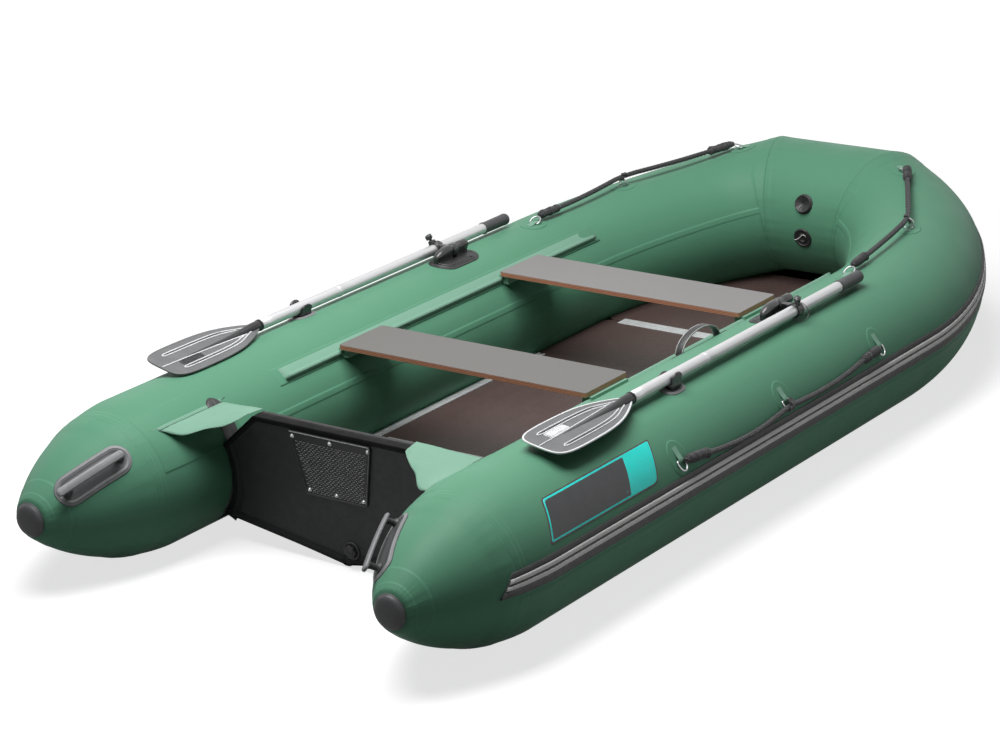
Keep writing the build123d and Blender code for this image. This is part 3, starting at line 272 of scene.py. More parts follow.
def ring(radius, sides=10, squash=1.0):
    """A round section."""
    return [(radius * math.cos(2 * math.pi * k / sides), radius * squash * math.sin(2 * math.pi * k / sides))
            for k in range(sides)]


def smooth_line(corners):
    """A line whose corners are rounded by cutting them three times."""
    line = [Vector(p) for p in corners]
    for _ in range(3):
        made = [line[0]]
        for a, b in zip(line, line[1:]):
            made += [a.lerp(b, 0.25), a.lerp(b, 0.75)]
        line = [*made, line[-1]]
    return line


def bevelled(points, faces, width, segments, angle=30):
    """The points and faces of a mesh with its sharp edges rounded."""
    mesh = bmesh.new()
    made = [mesh.verts.new(p) for p in points]
    for face in faces:
        mesh.faces.new([made[i] for i in face])
    mesh.normal_update()
    sharp = [e for e in mesh.edges if len(e.link_faces) == 2 and e.calc_face_angle(0) > math.radians(angle)]
    bmesh.ops.bevel(mesh, geom=sharp, offset=width, segments=segments, profile=0.5, affect="EDGES",
                    clamp_overlap=True)
    mesh.verts.index_update()
    result = [v.co.copy() for v in mesh.verts], [[v.index for v in f.verts] for f in mesh.faces]
    mesh.free()
    return result


def prism(outline, origin, x_dir, y_dir, low, high, bevel=0.0, segments=2):
    """An outline (x, y) extruded along x_dir cross y_dir from low to high, with rounded edges."""
    x_dir, y_dir = Vector(x_dir).normalized(), Vector(y_dir).normalized()
    out = x_dir.cross(y_dir)
    n = len(outline)
    points = [Vector(origin) + x_dir * x + y_dir * y + out * h for h in (low, high) for x, y in outline]
    faces = [tuple(reversed(range(n))), tuple(range(n, 2 * n))]
    faces += [(k, (k + 1) % n, n + (k + 1) % n, n + k) for k in range(n)]
    if bevel:
        points, faces = bevelled(points, faces, bevel, segments)
    return points, faces


def rounded(outline, radius, steps=5):
    """An outline with its corners rounded. A radius may be given for each corner."""
    n = len(outline)
    radii = radius if isinstance(radius, (list, tuple)) else [radius] * n
    made = []
    for k in range(n):
        here = Vector(outline[k])
        before, after = Vector(outline[k - 1]) - here, Vector(outline[(k + 1) % n]) - here
        half = before.angle(after) / 2
        cut = min(radii[k] / math.tan(half), 0.49 * min(before.length, after.length))
        if cut < 1e-6:
            made.append(tuple(here))
            continue
        start, end = here + before.normalized() * cut, here + after.normalized() * cut
        for j in range(steps + 1):
            t = j / steps
            made.append(tuple(start * (1 - t) ** 2 + here * (2 * t * (1 - t)) + end * t**2))
    return made


def stadium(length, width, steps=14):
    """The outline of a slot, its length along x."""
    r, half = width / 2, (length - width) / 2
    made = []
    for side, start in ((1, -90), (-1, 90)):
        for k in range(steps + 1):
            a = math.radians(start + 180 * k / steps)
            made.append((side * half + r * math.cos(a), r * math.sin(a)))
    return made


def between(a, b, step):
    """Evenly spaced points (x, y), at most about a step apart, from a up to b but without b."""
    count = max(1, int(math.dist(a, b) / step))
    return [(a[0] + (b[0] - a[0]) * j / count, a[1] + (b[1] - a[1]) * j / count) for j in range(count)]


def dense(outline, step):
    """A closed outline with more points on its long stretches."""
    return [p for a, b in zip(outline, outline[1:] + outline[:1]) for p in between(a, b, step)]


def inset(outline, distance):
    """A closed outline moved inward by a distance."""
    made = []
    for k, (u, v) in enumerate(outline):
        way = (Vector(outline[(k + 1) % len(outline)]) - Vector(outline[k - 1])).normalized()
        made.append((u - way.y * distance, v + way.x * distance))
    return made


def looped(rows, columns):
    """Faces of a grid of points that closes on itself both ways."""
    return [(r * columns + c, r * columns + (c + 1) % columns, (r + 1) % rows * columns + (c + 1) % columns,
             (r + 1) % rows * columns + c) for r in range(rows) for c in range(columns)]


# ------------------------------------------------------------------ materials
def new_material(name):
    made = bpy.data.materials.new(name)
    made.use_nodes = True
    shader = made.node_tree.nodes["Principled BSDF"]
    return made, made.node_tree, shader


def link_looks(shader, colour, rough, normal):
    """Links the sockets of a colour, a roughness (or None) and a normal to a shader."""
    for name, socket in (("Base Color", colour), ("Roughness", rough), ("Normal", normal)):
        if socket is not None:
            shader.id_data.links.new(socket, shader.inputs[name])


def node(tree, kind, **values):
    made = tree.nodes.new(kind)
    for key, value in values.items():
        setattr(made, key, value)
    return made


def place_of(tree, by_uv=False, scale=(1, 1, 1)):
    """Coordinates in metres that stay on the piece."""
    source = node(tree, "ShaderNodeTexCoord").outputs["UV" if by_uv else "Object"]
    mapping = node(tree, "ShaderNodeMapping")
    mapping.inputs["Scale"].default_value = scale
    tree.links.new(source, mapping.inputs["Vector"])
    return mapping.outputs["Vector"]


def noise_of(tree, place, scale, detail=3.0, rough=0.5):
    made = node(tree, "ShaderNodeTexNoise")
    made.inputs["Scale"].default_value = scale
    made.inputs["Detail"].default_value = detail
    made.inputs["Roughness"].default_value = rough
    tree.links.new(place, made.inputs["Vector"])
    return made.outputs["Fac"]


def ramp_of(tree, value, stops):
    """A colour ramp over a value: stops are (place, colour or grey)."""
    made = node(tree, "ShaderNodeValToRGB")
    made.color_ramp.interpolation = "LINEAR"
    while len(made.color_ramp.elements) < len(stops):
        made.color_ramp.elements.new(0.5)
    for element, (place, colour) in zip(made.color_ramp.elements, stops):
        element.position = place
        element.color = (*colour, 1) if isinstance(colour, tuple) else (colour, colour, colour, 1)
    tree.links.new(value, made.inputs["Fac"])
    return made.outputs["Color"]


def mix_of(tree, factor, a, b):
    """A colour mix. a, b and factor are sockets, colours or numbers."""
    made = node(tree, "ShaderNodeMix", data_type="RGBA", blend_type="MIX")
    for socket, value in ((made.inputs[0], factor), (made.inputs[6], a), (made.inputs[7], b)):
        if isinstance(value, bpy.types.NodeSocket):
            tree.links.new(value, socket)
        elif isinstance(value, tuple):
            socket.default_value = (*value, 1)
        else:
            socket.default_value = value
    return made.outputs[2]


def math_of(tree, operation, a, b=0.0):
    made = node(tree, "ShaderNodeMath", operation=operation)
    for socket, value in zip(made.inputs, (a, b)):
        if isinstance(value, bpy.types.NodeSocket):
            tree.links.new(value, socket)
        else:
            socket.default_value = value
    return made.outputs[0]


def bump_of(tree, height, distance, strength=1.0, under=None):
    made = node(tree, "ShaderNodeBump")
    made.inputs["Strength"].default_value = strength
    made.inputs["Distance"].default_value = distance
    tree.links.new(height, made.inputs["Height"])
    if under is not None:
        tree.links.new(under, made.inputs["Normal"])
    return made.outputs["Normal"]


def wave_of(tree, place, scale, direction):
    made = node(tree, "ShaderNodeTexWave", wave_type="BANDS", bands_direction=direction, wave_profile="SIN")
    made.inputs["Scale"].default_value = scale
    tree.links.new(place, made.inputs["Vector"])
    return made.outputs["Fac"]


def spread(tree, place, scale, detail, low, high):
    """Soft changes of a value between low and high, used for roughness."""
    return ramp_of(tree, noise_of(tree, place, scale, detail), ((0.3, low), (0.7, high)))


def times(colour, share):
    """A colour made darker or lighter."""
    return tuple(min(c * share, 1) for c in colour)


def coated_fabric(name, colour, rough=0.46, by_uv=True, sheen=0.03):
    """Coated cloth: a faint weave under a smooth skin, with soft changes of shade and sheen."""
    made, tree, shader = new_material(name)
    place = place_of(tree)
    weave_place = place_of(tree, by_uv)
    shade = mix_of(tree, noise_of(tree, place, 3.2, 3), times(colour, 0.93), times(colour, 1.06))
    fine = math_of(tree, "MULTIPLY", noise_of(tree, place, 420, 2), 0.22)
    shade = mix_of(tree, fine, shade, times(colour, 0.86))
    threads = (wave_of(tree, weave_place, 150, way) for way in "XY")
    weave = math_of(tree, "MULTIPLY", *threads)
    normal = bump_of(tree, weave, 0.00012, 0.35)
    normal = bump_of(tree, noise_of(tree, place, 26), 0.0012, 0.3, normal)
    link_looks(shader, shade, spread(tree, place, 9, 4, rough - 0.05, rough + 0.06), normal)
    shader.inputs["Specular IOR Level"].default_value = 0.13
    shader.inputs["Sheen Weight"].default_value = sheen
    shader.inputs["Sheen Roughness"].default_value = 0.45
    return made


def moulded(name, colour, rough=0.42, grain=900.0, depth=0.00015, specular=0.5, coat=0.0):
    """Moulded plastic or rubber with a fine grain, rubbed a little paler in places."""
    made, tree, shader = new_material(name)
    place = place_of(tree)
    rubbed = ramp_of(tree, noise_of(tree, place, 24, 5, 0.6), ((0.45, 0.0), (0.8, 0.5)))
    pale = tuple(min(c * 1.5 + 0.012, 1) for c in colour)
    grained = node(tree, "ShaderNodeTexVoronoi")
    grained.inputs["Scale"].default_value = grain
    tree.links.new(place, grained.inputs["Vector"])
    link_looks(shader, mix_of(tree, rubbed, colour, pale),
               spread(tree, place, 55, 4, rough - 0.07, rough + 0.09),
               bump_of(tree, grained.outputs["Distance"], depth, 0.5))
    shader.inputs["Specular IOR Level"].default_value = specular
    shader.inputs["Coat Weight"].default_value = coat
    shader.inputs["Coat Roughness"].default_value = 0.2
    return made


def metal(name, colour, rough, along=(1, 40, 1), scratch=90.0, share=1.0):
    """Drawn or brushed metal: streaks along the drawing direction."""
    made, tree, shader = new_material(name)
    streaks = noise_of(tree, place_of(tree, scale=along), scratch, 4, 0.6)
    link_looks(shader, mix_of(tree, streaks, times(colour, 0.88), colour),
               ramp_of(tree, streaks, ((0.25, rough - 0.08), (0.75, rough + 0.1))),
               bump_of(tree, streaks, 0.0001, 0.25))
    shader.inputs["Metallic"].default_value = share
    return made


def phenolic(name):
    """Film-faced plywood: dark brown, with a fine speckle and faint streaks."""
    made, tree, shader = new_material(name)
    place = place_of(tree)
    speckle = noise_of(tree, place, 620, 2, 0.7)
    clouds = noise_of(tree, place_of(tree, scale=(6, 1.2, 6)), 4, 4)
    shade = mix_of(tree, clouds, (0.050, 0.028, 0.025), (0.078, 0.048, 0.044))
    flecks = ramp_of(tree, speckle, ((0.5, 0.0), (0.66, 1.0)))
    shade = mix_of(tree, math_of(tree, "MULTIPLY", flecks, 0.55), shade, (0.125, 0.088, 0.080))
    link_looks(shader, shade, spread(tree, place, 70, 4, 0.42, 0.56), bump_of(tree, speckle, 0.0003, 0.5))
    return made


def laminate(name, colour):
    """Bench top: a grey-brown laminate with a very fine grain along it."""
    made, tree, shader = new_material(name)
    grain = noise_of(tree, place_of(tree, scale=(1.2, 28, 1)), 26, 5, 0.6)
    clouds = math_of(tree, "MULTIPLY", noise_of(tree, place_of(tree), 3.4, 3), 0.4)
    shade = mix_of(tree, grain, times(colour, 0.90), times(colour, 1.07))
    link_looks(shader, mix_of(tree, clouds, shade, times(colour, 0.84)),
               ramp_of(tree, grain, ((0.3, 0.44), (0.7, 0.54))), bump_of(tree, grain, 0.0001, 0.3))
    return made


def ply_edge(name, top_z):
    """The bare edge of plywood: thin layers one over another, some of them end grain."""
    made, tree, shader = new_material(name)
    place = place_of(tree)
    height = node(tree, "ShaderNodeSeparateXYZ")
    tree.links.new(place, height.inputs[0])
    depth = math_of(tree, "MULTIPLY", math_of(tree, "SUBTRACT", top_z, height.outputs["Z"]), 1 / 0.014)
    wobble = math_of(tree, "MULTIPLY", noise_of(tree, place, 30), 0.06)
    depth = math_of(tree, "ADD", depth, math_of(tree, "SUBTRACT", wobble, 0.03))
    light, dark, film = (0.74, 0.330, 0.200), (0.44, 0.170, 0.095), (0.060, 0.036, 0.028)
    layers = ramp_of(tree, depth, ((0.0, film), (0.07, film), (0.10, light), (0.25, light), (0.28, dark),
                                   (0.42, dark), (0.45, light), (0.58, light), (0.61, dark), (0.74, dark),
                                   (0.77, light), (0.91, light), (0.94, film)))
    fibres = noise_of(tree, place_of(tree, scale=(14, 14, 90)), 22, 5, 0.7)
    shade = mix_of(tree, ramp_of(tree, fibres, ((0.35, 0.0), (0.75, 0.65))), layers, (0.14, 0.070, 0.040))
    link_looks(shader, shade, None, bump_of(tree, fibres, 0.0005, 0.6))
    shader.inputs["Roughness"].default_value = 0.7
    return made


def rope_fibre(name, colour):
    """Black braided cord: fine yarns with a slight sheen."""
    made, tree, shader = new_material(name)
    place = place_of(tree)
    yarn = noise_of(tree, place, 900, 3, 0.7)
    link_looks(shader, mix_of(tree, yarn, times(colour, 0.5), times(colour, 2.4)),
               spread(tree, place, 140, 3, 0.42, 0.62), bump_of(tree, yarn, 0.0004, 0.6))
    shader.inputs["Sheen Weight"].default_value = 0.3
    return made


green = coated_fabric("green_fabric", (0.112, 0.300, 0.190))
pale_green = coated_fabric("pale_green_fabric", (0.218, 0.405, 0.302), 0.46, False)
charcoal = coated_fabric("charcoal_fabric", (0.020, 0.021, 0.022), 0.5, False, 0.02)
black_rubber = moulded("black_rubber", (0.015, 0.015, 0.016), 0.48)
grey_rubber = moulded("grey_rubber", (0.045, 0.046, 0.049), 0.46)
handle_rubber = moulded("handle_rubber", (0.205, 0.208, 0.214), 0.40)
# the darker handle rubber is painted shade in the recess under the grip bar and on the base's outer edge
handle_painted_shade = moulded("handle_recess_painted_shade", (0.062, 0.063, 0.066), 0.46)
gloss_black = moulded("gloss_black", (0.010, 0.010, 0.011), 0.26, 600, 0.0001, 0.6, 0.25)
pale_line = moulded("pale_line", (0.93, 0.93, 0.92), 0.4, 700)
blade_grey = moulded("blade_grey", (0.125, 0.127, 0.130), 0.34, 800, 0.0001)
# pale ribs, and on the starboard blade a pale rim and panel that are painted highlight
blade_pale_and_painted_highlight = moulded("blade_pale_and_painted_highlight", (0.78, 0.79, 0.80), 0.34, 800)
# near black on the blades' spines: painted shade
blade_spine_painted_shade = moulded("blade_spine_painted_shade", (0.010, 0.010, 0.011), 0.3, 800, 0.0001)
aluminium = metal("aluminium", (0.70, 0.71, 0.72), 0.42, (2, 0.2, 2), 60, 0.35)
shaft_metal = metal("shaft_metal", (0.70, 0.70, 0.71), 0.40, (60, 2, 60), 10, 0.55)
steel = metal("steel", (0.50, 0.51, 0.52), 0.30, (1, 1, 1), 240)
floor_ply = phenolic("floor_plywood")
painted_black = moulded("painted_plywood", (0.0135, 0.0140, 0.0150), 0.5, 500, 0.0002, 0.4)
plate_black = moulded("plate_black", (0.010, 0.010, 0.011), 0.42, 700)
# dark lines on the blades: painted shade along the ribs and on the port blade's panel
blade_painted_shade_lines = moulded("blade_grooves_painted_shade", (0.035, 0.036, 0.038), 0.4, 700)
edging_black = moulded("edging_black", (0.004, 0.004, 0.0045), 0.6, 600, 0.0002, 0.10)
# pale grey for the plate's bars and rim line: painted highlight on black plastic
plate_bar_painted_highlight = moulded("plate_bar_painted_highlight", (0.32, 0.32, 0.325), 0.38, 700)
bench_top_aft = laminate("bench_top_aft", (0.140, 0.134, 0.127))
bench_top_fore = laminate("bench_top_fore", (0.215, 0.208, 0.203))
ply_bare = ply_edge("bench_edge", 0.390)
rope_black = rope_fibre("rope_black", (0.018, 0.018, 0.020))
turquoise = moulded("turquoise_sheet", (0.010, 0.86, 0.76), 0.34, 900, 0.00005)
sign_grey = moulded("charcoal_sheet", (0.024, 0.0245, 0.027), 0.36, 900, 0.00005)
sign_rim = moulded("dark_rim", (0.045, 0.016, 0.018), 0.4, 900, 0.00005)
webbing_black = rope_fibre("webbing_black", (0.010, 0.010, 0.011))
webbing_pale = rope_fibre("webbing_pale", (0.30, 0.30, 0.30))

# ------------------------------------------------------------------ grab lines
SIDE_LINE = ((0.772, -0.646, 0.296), (0.773, -0.598, 0.294), (0.775, -0.526, 0.281), (0.778, -0.421, 0.270),
             (0.779, -0.300, 0.267), (0.778, -0.205, 0.275), (0.777, -0.138, 0.284), (0.777, -0.060, 0.278),
             (0.777, 0.046, 0.274), (0.776, 0.160, 0.277), (0.773, 0.250, 0.287), (0.773, 0.310, 0.293),
             (0.772, 0.358, 0.296))
BOW_LINE = ((0.550, 0.600, 0.440), (0.540, 0.701, 0.442), (0.530, 0.802, 0.448), (0.521, 0.903, 0.457),
            (0.511, 1.005, 0.470), (0.445, 1.122, 0.481), (0.380, 1.239, 0.495), (0.314, 1.356, 0.514))
ROPE_R = 0.005


def route_curve(name, route, side):
    """The cord itself: one NURBS curve with a round section."""
    curve = bpy.data.curves.new(name, "CURVE")
    curve.dimensions = "3D"
    spline = curve.splines.new("NURBS")
    spline.points.add(len(route) - 1)
    for point, (x, y, z) in zip(spline.points, route):
        point.co = (side * x, y, z, 1)
    spline.order_u = 3
    spline.use_endpoint_u = True
    spline.resolution_u = 24
    return curve


def points_of(curve):
    """Points read from a curve without a section."""
    probe = bpy.data.objects.new("probe", curve)
    scene.collection.objects.link(probe)
    bpy.context.view_layer.update()
    mesh = bpy.data.meshes.new_from_object(probe)
    line = [v.co.copy() for v in mesh.vertices]
    bpy.data.objects.remove(probe)
    bpy.data.meshes.remove(mesh)
    return line


def resample(line, step):
    """Evenly spaced points along a line."""
    steps = [(b - a).length for a, b in zip(line, line[1:])]
    marks = np.concatenate([[0], np.cumsum(steps)])
    count = max(2, int(marks[-1] / step) + 1)
    wanted = np.linspace(0, marks[-1], count)
    coordinates = np.array([tuple(p) for p in line])
    return [Vector([np.interp(w, marks, coordinates[:, k]) for k in range(3)]) for w in wanted], marks[-1]


def braid(line, radius, width, strands=4, pitch=0.026, wave=0.0009):
    """Plaited strands round a line: half of them turn one way, half the other, over and under."""
    shape = Shape()
    frames = path_frames(line)
    length = sum((b - a).length for a, b in zip(line, line[1:]))
    step = length / (len(line) - 1)
    for way in (1, -1):
        for k in range(strands):
            middle = []
            for j, (origin, a, b) in enumerate(frames):
                turn = way * 2 * math.pi * (j * step / pitch) + 2 * math.pi * k / strands
                weave = wave * way * math.cos(2 * strands * math.pi * (j * step / pitch) + math.pi * k)
                middle.append(origin + (a * math.cos(turn) + b * math.sin(turn)) * (radius - 0.0011 + weave))
            made = []
            for (point, _, _), (origin, a, b) in zip(path_frames(middle), frames):
                outward = (point - origin).normalized()
                made.append((point, b.cross(a).cross(outward).normalized(), outward))
            shape.add(*swept(ring(width, 5, 0.55), made))
    return shape


def wrapping(line, radius, seed, lump=0.0016, wire=0.0022):
    """A whipping: a thin cord wound closely and unevenly round the line, over a sleeve."""
    frames = path_frames(line)
    last = len(line) - 1
    turns = last / 3.1
    many = int(turns * 14)
    middle, outs = [], []
    for j in range(many + 1):
        t = j / many
        k = min(int(t * last), last - 1)
        origin = frames[k][0].lerp(frames[k + 1][0], t * last - k)
        angle = 2 * math.pi * turns * t
        bulge = noise.noise(Vector((seed, t * 5.0, 0.0))) * lump * 2
        bulge += noise.noise(Vector((seed, t * 17.0, angle * 0.3))) * lump
        taper = min(1.0, 6 * t + 0.35, 6 * (1 - t) + 0.35)
        way = frames[k][1] * math.cos(angle) + frames[k][2] * math.sin(angle)
        middle.append(origin + way * (ROPE_R + (radius - ROPE_R + bulge) * taper))
        outs.append(way)
    ahead = [(middle[min(k + 1, many)] - middle[max(k - 1, 0)]).normalized() for k in range(many + 1)]
    made = [(point, way, along.cross(way).normalized()) for point, way, along in zip(middle, outs, ahead)]
    shape = Shape().add(*swept(ring(wire, 6), made))
    sleeve = []
    for j, (origin, a, b) in enumerate(frames):
        t = j / last
        taper = min(1.0, 6 * t + 0.2, 6 * (1 - t) + 0.2)
        bulge = noise.noise(Vector((seed, t * 5.0, 0.0))) * lump * 2
        r = ROPE_R * 0.98 + (radius - ROPE_R + bulge - 0.001) * taper
        sleeve += [origin + (a * math.cos(v) + b * math.sin(v)) * r for v in np.linspace(0, 2 * math.pi, 13)[:-1]]
    return shape.add(sleeve, grid(len(line), 12))


def hitch(centre, along, up, out, size):
    """The crossed loop that ties the line to a ring: two bights that cross in front of the line."""
    shape = Shape()
    for way in (1, -1):
        corners = [(-way * 0.7, 2.1, 0.0), (-way * 0.6, 1.2, 0.75), (way * 0.5, 0.1, 1.0), (way * 0.9, -0.7, 0.5),
                   (way * 0.55, -1.05, -0.25), (-way * 0.2, -0.95, 0.35), (-way * 0.75, -0.15, 0.75),
                   (way * 0.15, 1.0, 0.45), (way * 0.5, 2.1, -0.1)]
        line = smooth_line([centre + (along * a + up * u + out * o) * size for a, u, o in corners])
        shape.add(*swept(ring(0.0034, 7), path_frames(line)))
    return shape


CORD_STEP = 0.002
# Each line: its route, the y of its middle ring, how it hangs, and the whippings near its two ends.
# A whipping is (start, end, radius), measured along the line from the nearer end.
GRAB_LINES = {
    "grab_line_side": (SIDE_LINE, -0.138, "hanging", ((0.004, 0.112, 0.0118), (0.004, 0.098, 0.0112))),
    "grab_line_bow": (BOW_LINE, 1.005, "taut", ((0.004, 0.098, 0.0108), (0.004, 0.096, 0.0114))),
}
for name, (route, ring_y, lay, (near, far)) in GRAB_LINES.items():
    for side, hand in ((1, "starboard"), (-1, "port")):
        curve = route_curve(f"{name}_{hand}_route", route, side)
        line, length = resample(points_of(curve), CORD_STEP)
        curve.bevel_depth = ROPE_R * 0.8
        curve.bevel_resolution = 3
        curve.use_fill_caps = True
        curve.materials.append(rope_black)
        cord = bpy.data.objects.new(f"{name}_cord_{hand}", curve)
        scene.collection.objects.link(cord)
        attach(cord, "hull")
        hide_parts(f"{name}_{hand}")
        plaited = braid(line, ROPE_R + 0.0019, 0.0029)
        strands = add_shape(f"{name}_braid_{hand}", plaited, rope_black, slot="rope")
        count = len(line)
        wraps = wrapping(line[int(near[0] / CORD_STEP):int(near[1] / CORD_STEP)], near[2], 3.1 + side)
        more = wrapping(line[count - int(far[1] / CORD_STEP):count - int(far[0] / CORD_STEP)], far[2], 7.7 + side)
        wraps.add(more.points, more.faces)
        middle = min(line, key=lambda p: abs(p.y - ring_y))
        if lay == "hanging":
            tied = hitch(middle, AHEAD, UP, OUT * side, 0.011)
        else:
            tied = hitch(middle, *(Vector(way).normalized() for way in (
                (-side * 0.3, 0.95, 0), (side * 0.5, 0.3, -0.8), (side * 0.2, -0.1, 1))), 0.009)
        wraps.add(tied.points, tied.faces)
        knots = add_shape(f"{name}_whippings_{hand}", wraps, rope_black, slot="rope")

# ------------------------------------------------------------------ the tubes
SEAM = Vector((SEAM_X, CROSS_Y, CROSS_Z))
STUB_WAY = Matrix.Rotation(TURN_2, 3, BEND_AXIS) @ AHEAD
SEAM_NORMAL = (STUB_WAY - OUT).normalized()
outboard = Matrix.Rotation(TURN_2, 3, BEND_AXIS) @ OUT
crossing = outboard - STUB_WAY * (outboard.dot(SEAM_NORMAL) / STUB_WAY.dot(SEAM_NORMAL))
CROSS_ROLL = math.degrees(math.atan2(crossing.z, crossing.y))
EDGE = 0.0018                        # over which a welded edge rises
LAP = (156.5, 161.5)                 # the lap seam on the inner face of each side tube
LOW_LAP = (-13.0, -7.5)              # the seam under the rub strake
DOUBLER = (112.0, 161.5)             # the second layer that carries the transom
DOUBLER_END, LAP_START = -1.065, -1.06


def hull_point(station, angle, lift=0.0):
    """A point at an angle on a station: ("s", s) on the side tube, ("stub", share) or ("cross", share)."""
    kind, value = station
    if kind == "s":
        return on_tube(value, angle, lift)
    if kind == "stub":
        point, way = on_tube(BEND_END, angle, lift)
        return point + STUB_WAY * ((SEAM - point).dot(SEAM_NORMAL) / STUB_WAY.dot(SEAM_NORMAL) * value), way
    beta = math.radians(angle + CROSS_ROLL)
    way = Vector((0, math.cos(beta), math.sin(beta)))
    point = Vector((0, CROSS_Y, CROSS_Z)) + way * (TUBE_R + lift)
    side = (point.y - CROSS_Y) * SEAM_NORMAL.y + (point.z - CROSS_Z) * SEAM_NORMAL.z
    point.x = value * (SEAM_X - side / SEAM_NORMAL.x)
    return point, way


def from_seam(station, angle):
    """Distance of a point from the mitred seam."""
    kind, value = station
    if kind == "s":
        return max(BEND_END - value, 0) + 0.04
    here, _ = hull_point(station, angle)
    there, _ = hull_point((kind, math.copysign(1, value)), angle)
    return (here - there).length


def rise(value, low, high, soft):
    """1 between low and high, falling to 0 over soft on each side."""
    return max(0.0, min(1.0, (value - low) / soft + 0.5, (high - value) / soft + 0.5))


def angle_of(metres):
    return math.degrees(metres / TUBE_R)


def wrinkle(angle, size, seed):
    """A place in the noise that goes round with the angle."""
    return Vector((math.cos(math.radians(angle)) * size, math.sin(math.radians(angle)) * size, seed))


def fabric_lift(station, angle):
    """How far the fabric stands out: welded layers, and small puckers beside the seams."""
    kind, value = station
    lift = 0.0
    turned_angle = (angle + 180) % 360 - 180
    lap = rise(angle % 360, *LAP, angle_of(EDGE))
    gap = from_seam(station, angle) if kind != "s" or value > BEND_END - 0.2 else 1.0
    if kind == "s":
        if value < CONE_SEAM_Y + 0.006:
            lift -= 0.0040                  # the end of the tube lies under the cone's edge
        lift += LIGHT * rise(value, CONE_SEAM_Y - 0.05, CONE_SEAM_Y + 0.032, EDGE)
        lift += LIGHT * 0.7 * rise(value, CONE_SEAM_Y - 0.05, CONE_SEAM_Y + 0.047, EDGE)
        doubled = rise(value, CONE_SEAM_Y + 0.052, DOUBLER_END, EDGE)
        lift += LIGHT * doubled * rise(angle % 360, *DOUBLER, angle_of(EDGE))
        lift += LIGHT * rise(value, LAP_START, 9, EDGE) * lap
    if kind == "stub":
        lift += LIGHT * rise(gap, 0.043, 9, EDGE) * lap
        lift += LIGHT * rise(gap, -1, 0.040, EDGE)
    if kind == "cross":
        lift += LIGHT * 0.8 * rise(gap, -1, 0.022, EDGE)
    else:
        lift += LIGHT * rise(turned_angle, *LOW_LAP, angle_of(EDGE))
    cone_gap = abs(value - CONE_SEAM_Y) if kind == "s" else 1.0
    for distance, size, seed in ((gap, 0.0011, 3.0), (cone_gap, 0.0006, 8.0)):
        if distance < 0.3:
            fall = math.exp(-((distance / 0.07) ** 2))
            around = wrinkle(angle, 4.2, seed)
            lift += size * fall * noise.noise(around * 2.0)
            lift += size * 0.7 * fall * noise.noise(around * 5.0)
    along = 0.9 * value if kind == "s" else 3 + value
    return lift + 0.0006 * noise.noise(Vector((along, *wrinkle(angle, 0.9, 0).xy)))


def edges_of(values, reach):
    """Rows or columns that keep a layer's edge crisp."""
    return [v + d * reach for v in values for d in (-2.6, -0.5, 0.5, 2.6)]


def apart(values, least):
    """The values in order, without those that come too close after another."""
    values = sorted(values)
    return [v for k, v in enumerate(values) if k == 0 or v - values[k - 1] > least]


layer_ends = [CONE_SEAM_Y + 0.032, CONE_SEAM_Y + 0.047, CONE_SEAM_Y + 0.052, DOUBLER_END, LAP_START]
side_rows = {*np.arange(CONE_SEAM_Y - 0.010, BEND_Y, 0.028), *np.arange(BEND_Y, BEND_END - 0.01, 0.016),
             *np.arange(CONE_SEAM_Y - 0.010, CONE_SEAM_Y + 0.2, 0.010), BEND_END, *edges_of(layer_ends, EDGE)}
side_rows = [("s", s) for s in apart(side_rows, 0.0006)]
stub_rows = [("stub", f) for f in np.linspace(0.06, 1, 16)]
lap_edges = [a % 360 for a in edges_of([*LAP, *LOW_LAP, DOUBLER[0]], angle_of(EDGE))]
columns = apart({*np.arange(0, 360, 1.8), *lap_edges}, 0.12)


def tube_mesh(stations, lift_of):
    """Points, faces and fabric coordinates of a length of tube."""
    points, uvs, along, last = [], [], 0.0, None
    for station in stations:
        middle, _ = hull_point(station, 90)
        along += (middle - last).length if last else 0.0
        last = middle
        for angle in columns:
            lift = lift_of(station, angle)
            points.append(hull_point(station, angle, lift)[0])
            uvs.append((along, math.radians(angle) * TUBE_R))
    return points, grid(len(stations), len(columns)), uvs


points, faces, uvs = tube_mesh(side_rows + stub_rows, fabric_lift)
add_both("side_tube", points, faces, green, replaces=("tube", "bow_side"), slot="tube_fabric", uvs=uvs)
cross_rows = [("cross", f) for f in (*np.linspace(-1, -0.55, 18), *np.linspace(-0.5, 0.5, 12),
                                     *np.linspace(0.55, 1, 18))]
points, faces, uvs = tube_mesh(cross_rows, fabric_lift)
add_piece("cross_tube", points, [tuple(reversed(f)) for f in faces], green, slot="tube_fabric", uvs=uvs,
          replaces=["bow_cross"])


CAP_LAYERS = (CAP_BASE_Y + 0.017, CAP_BASE_Y + 0.052)


def cone_lift(station, angle):
    """The cone's layers: thick where it laps over the tube, and doubled round the cap."""
    value = station[1]
    lift = LIGHT * 2.1 * rise(value, CONE_SEAM_Y - 0.030, 0, 0.030)
    for end in CAP_LAYERS:
        lift += LIGHT * 0.8 * rise(value, -9, end, EDGE)
    around = wrinkle(angle, 4, 1.7)
    fall = math.exp(-(((CONE_SEAM_Y - value) / 0.06) ** 2)) + math.exp(-(((value - CAP_BASE_Y) / 0.05) ** 2))
    return lift + 0.0006 * fall * (noise.noise(around * 2) + 0.7 * noise.noise(around * 5))


cone_rows = {*np.linspace(CAP_BASE_Y, CONE_SEAM_Y + 0.010, 34), *edges_of(CAP_LAYERS, EDGE), CONE_SEAM_Y + 0.0118}
cone_rows = [("s", s) for s in sorted(cone_rows)]
points, _, uvs = tube_mesh(cone_rows, cone_lift)
# The cone's edge turns down on to the tube.
points += [hull_point(("s", CONE_SEAM_Y + 0.0122), angle, LIGHT * 1.2)[0] for angle in columns]
uvs += uvs[-len(columns):]
add_both("cone_end", points, grid(len(cone_rows) + 1, len(columns)), green, replaces=("cone",), slot="tube_fabric",
         uvs=uvs)

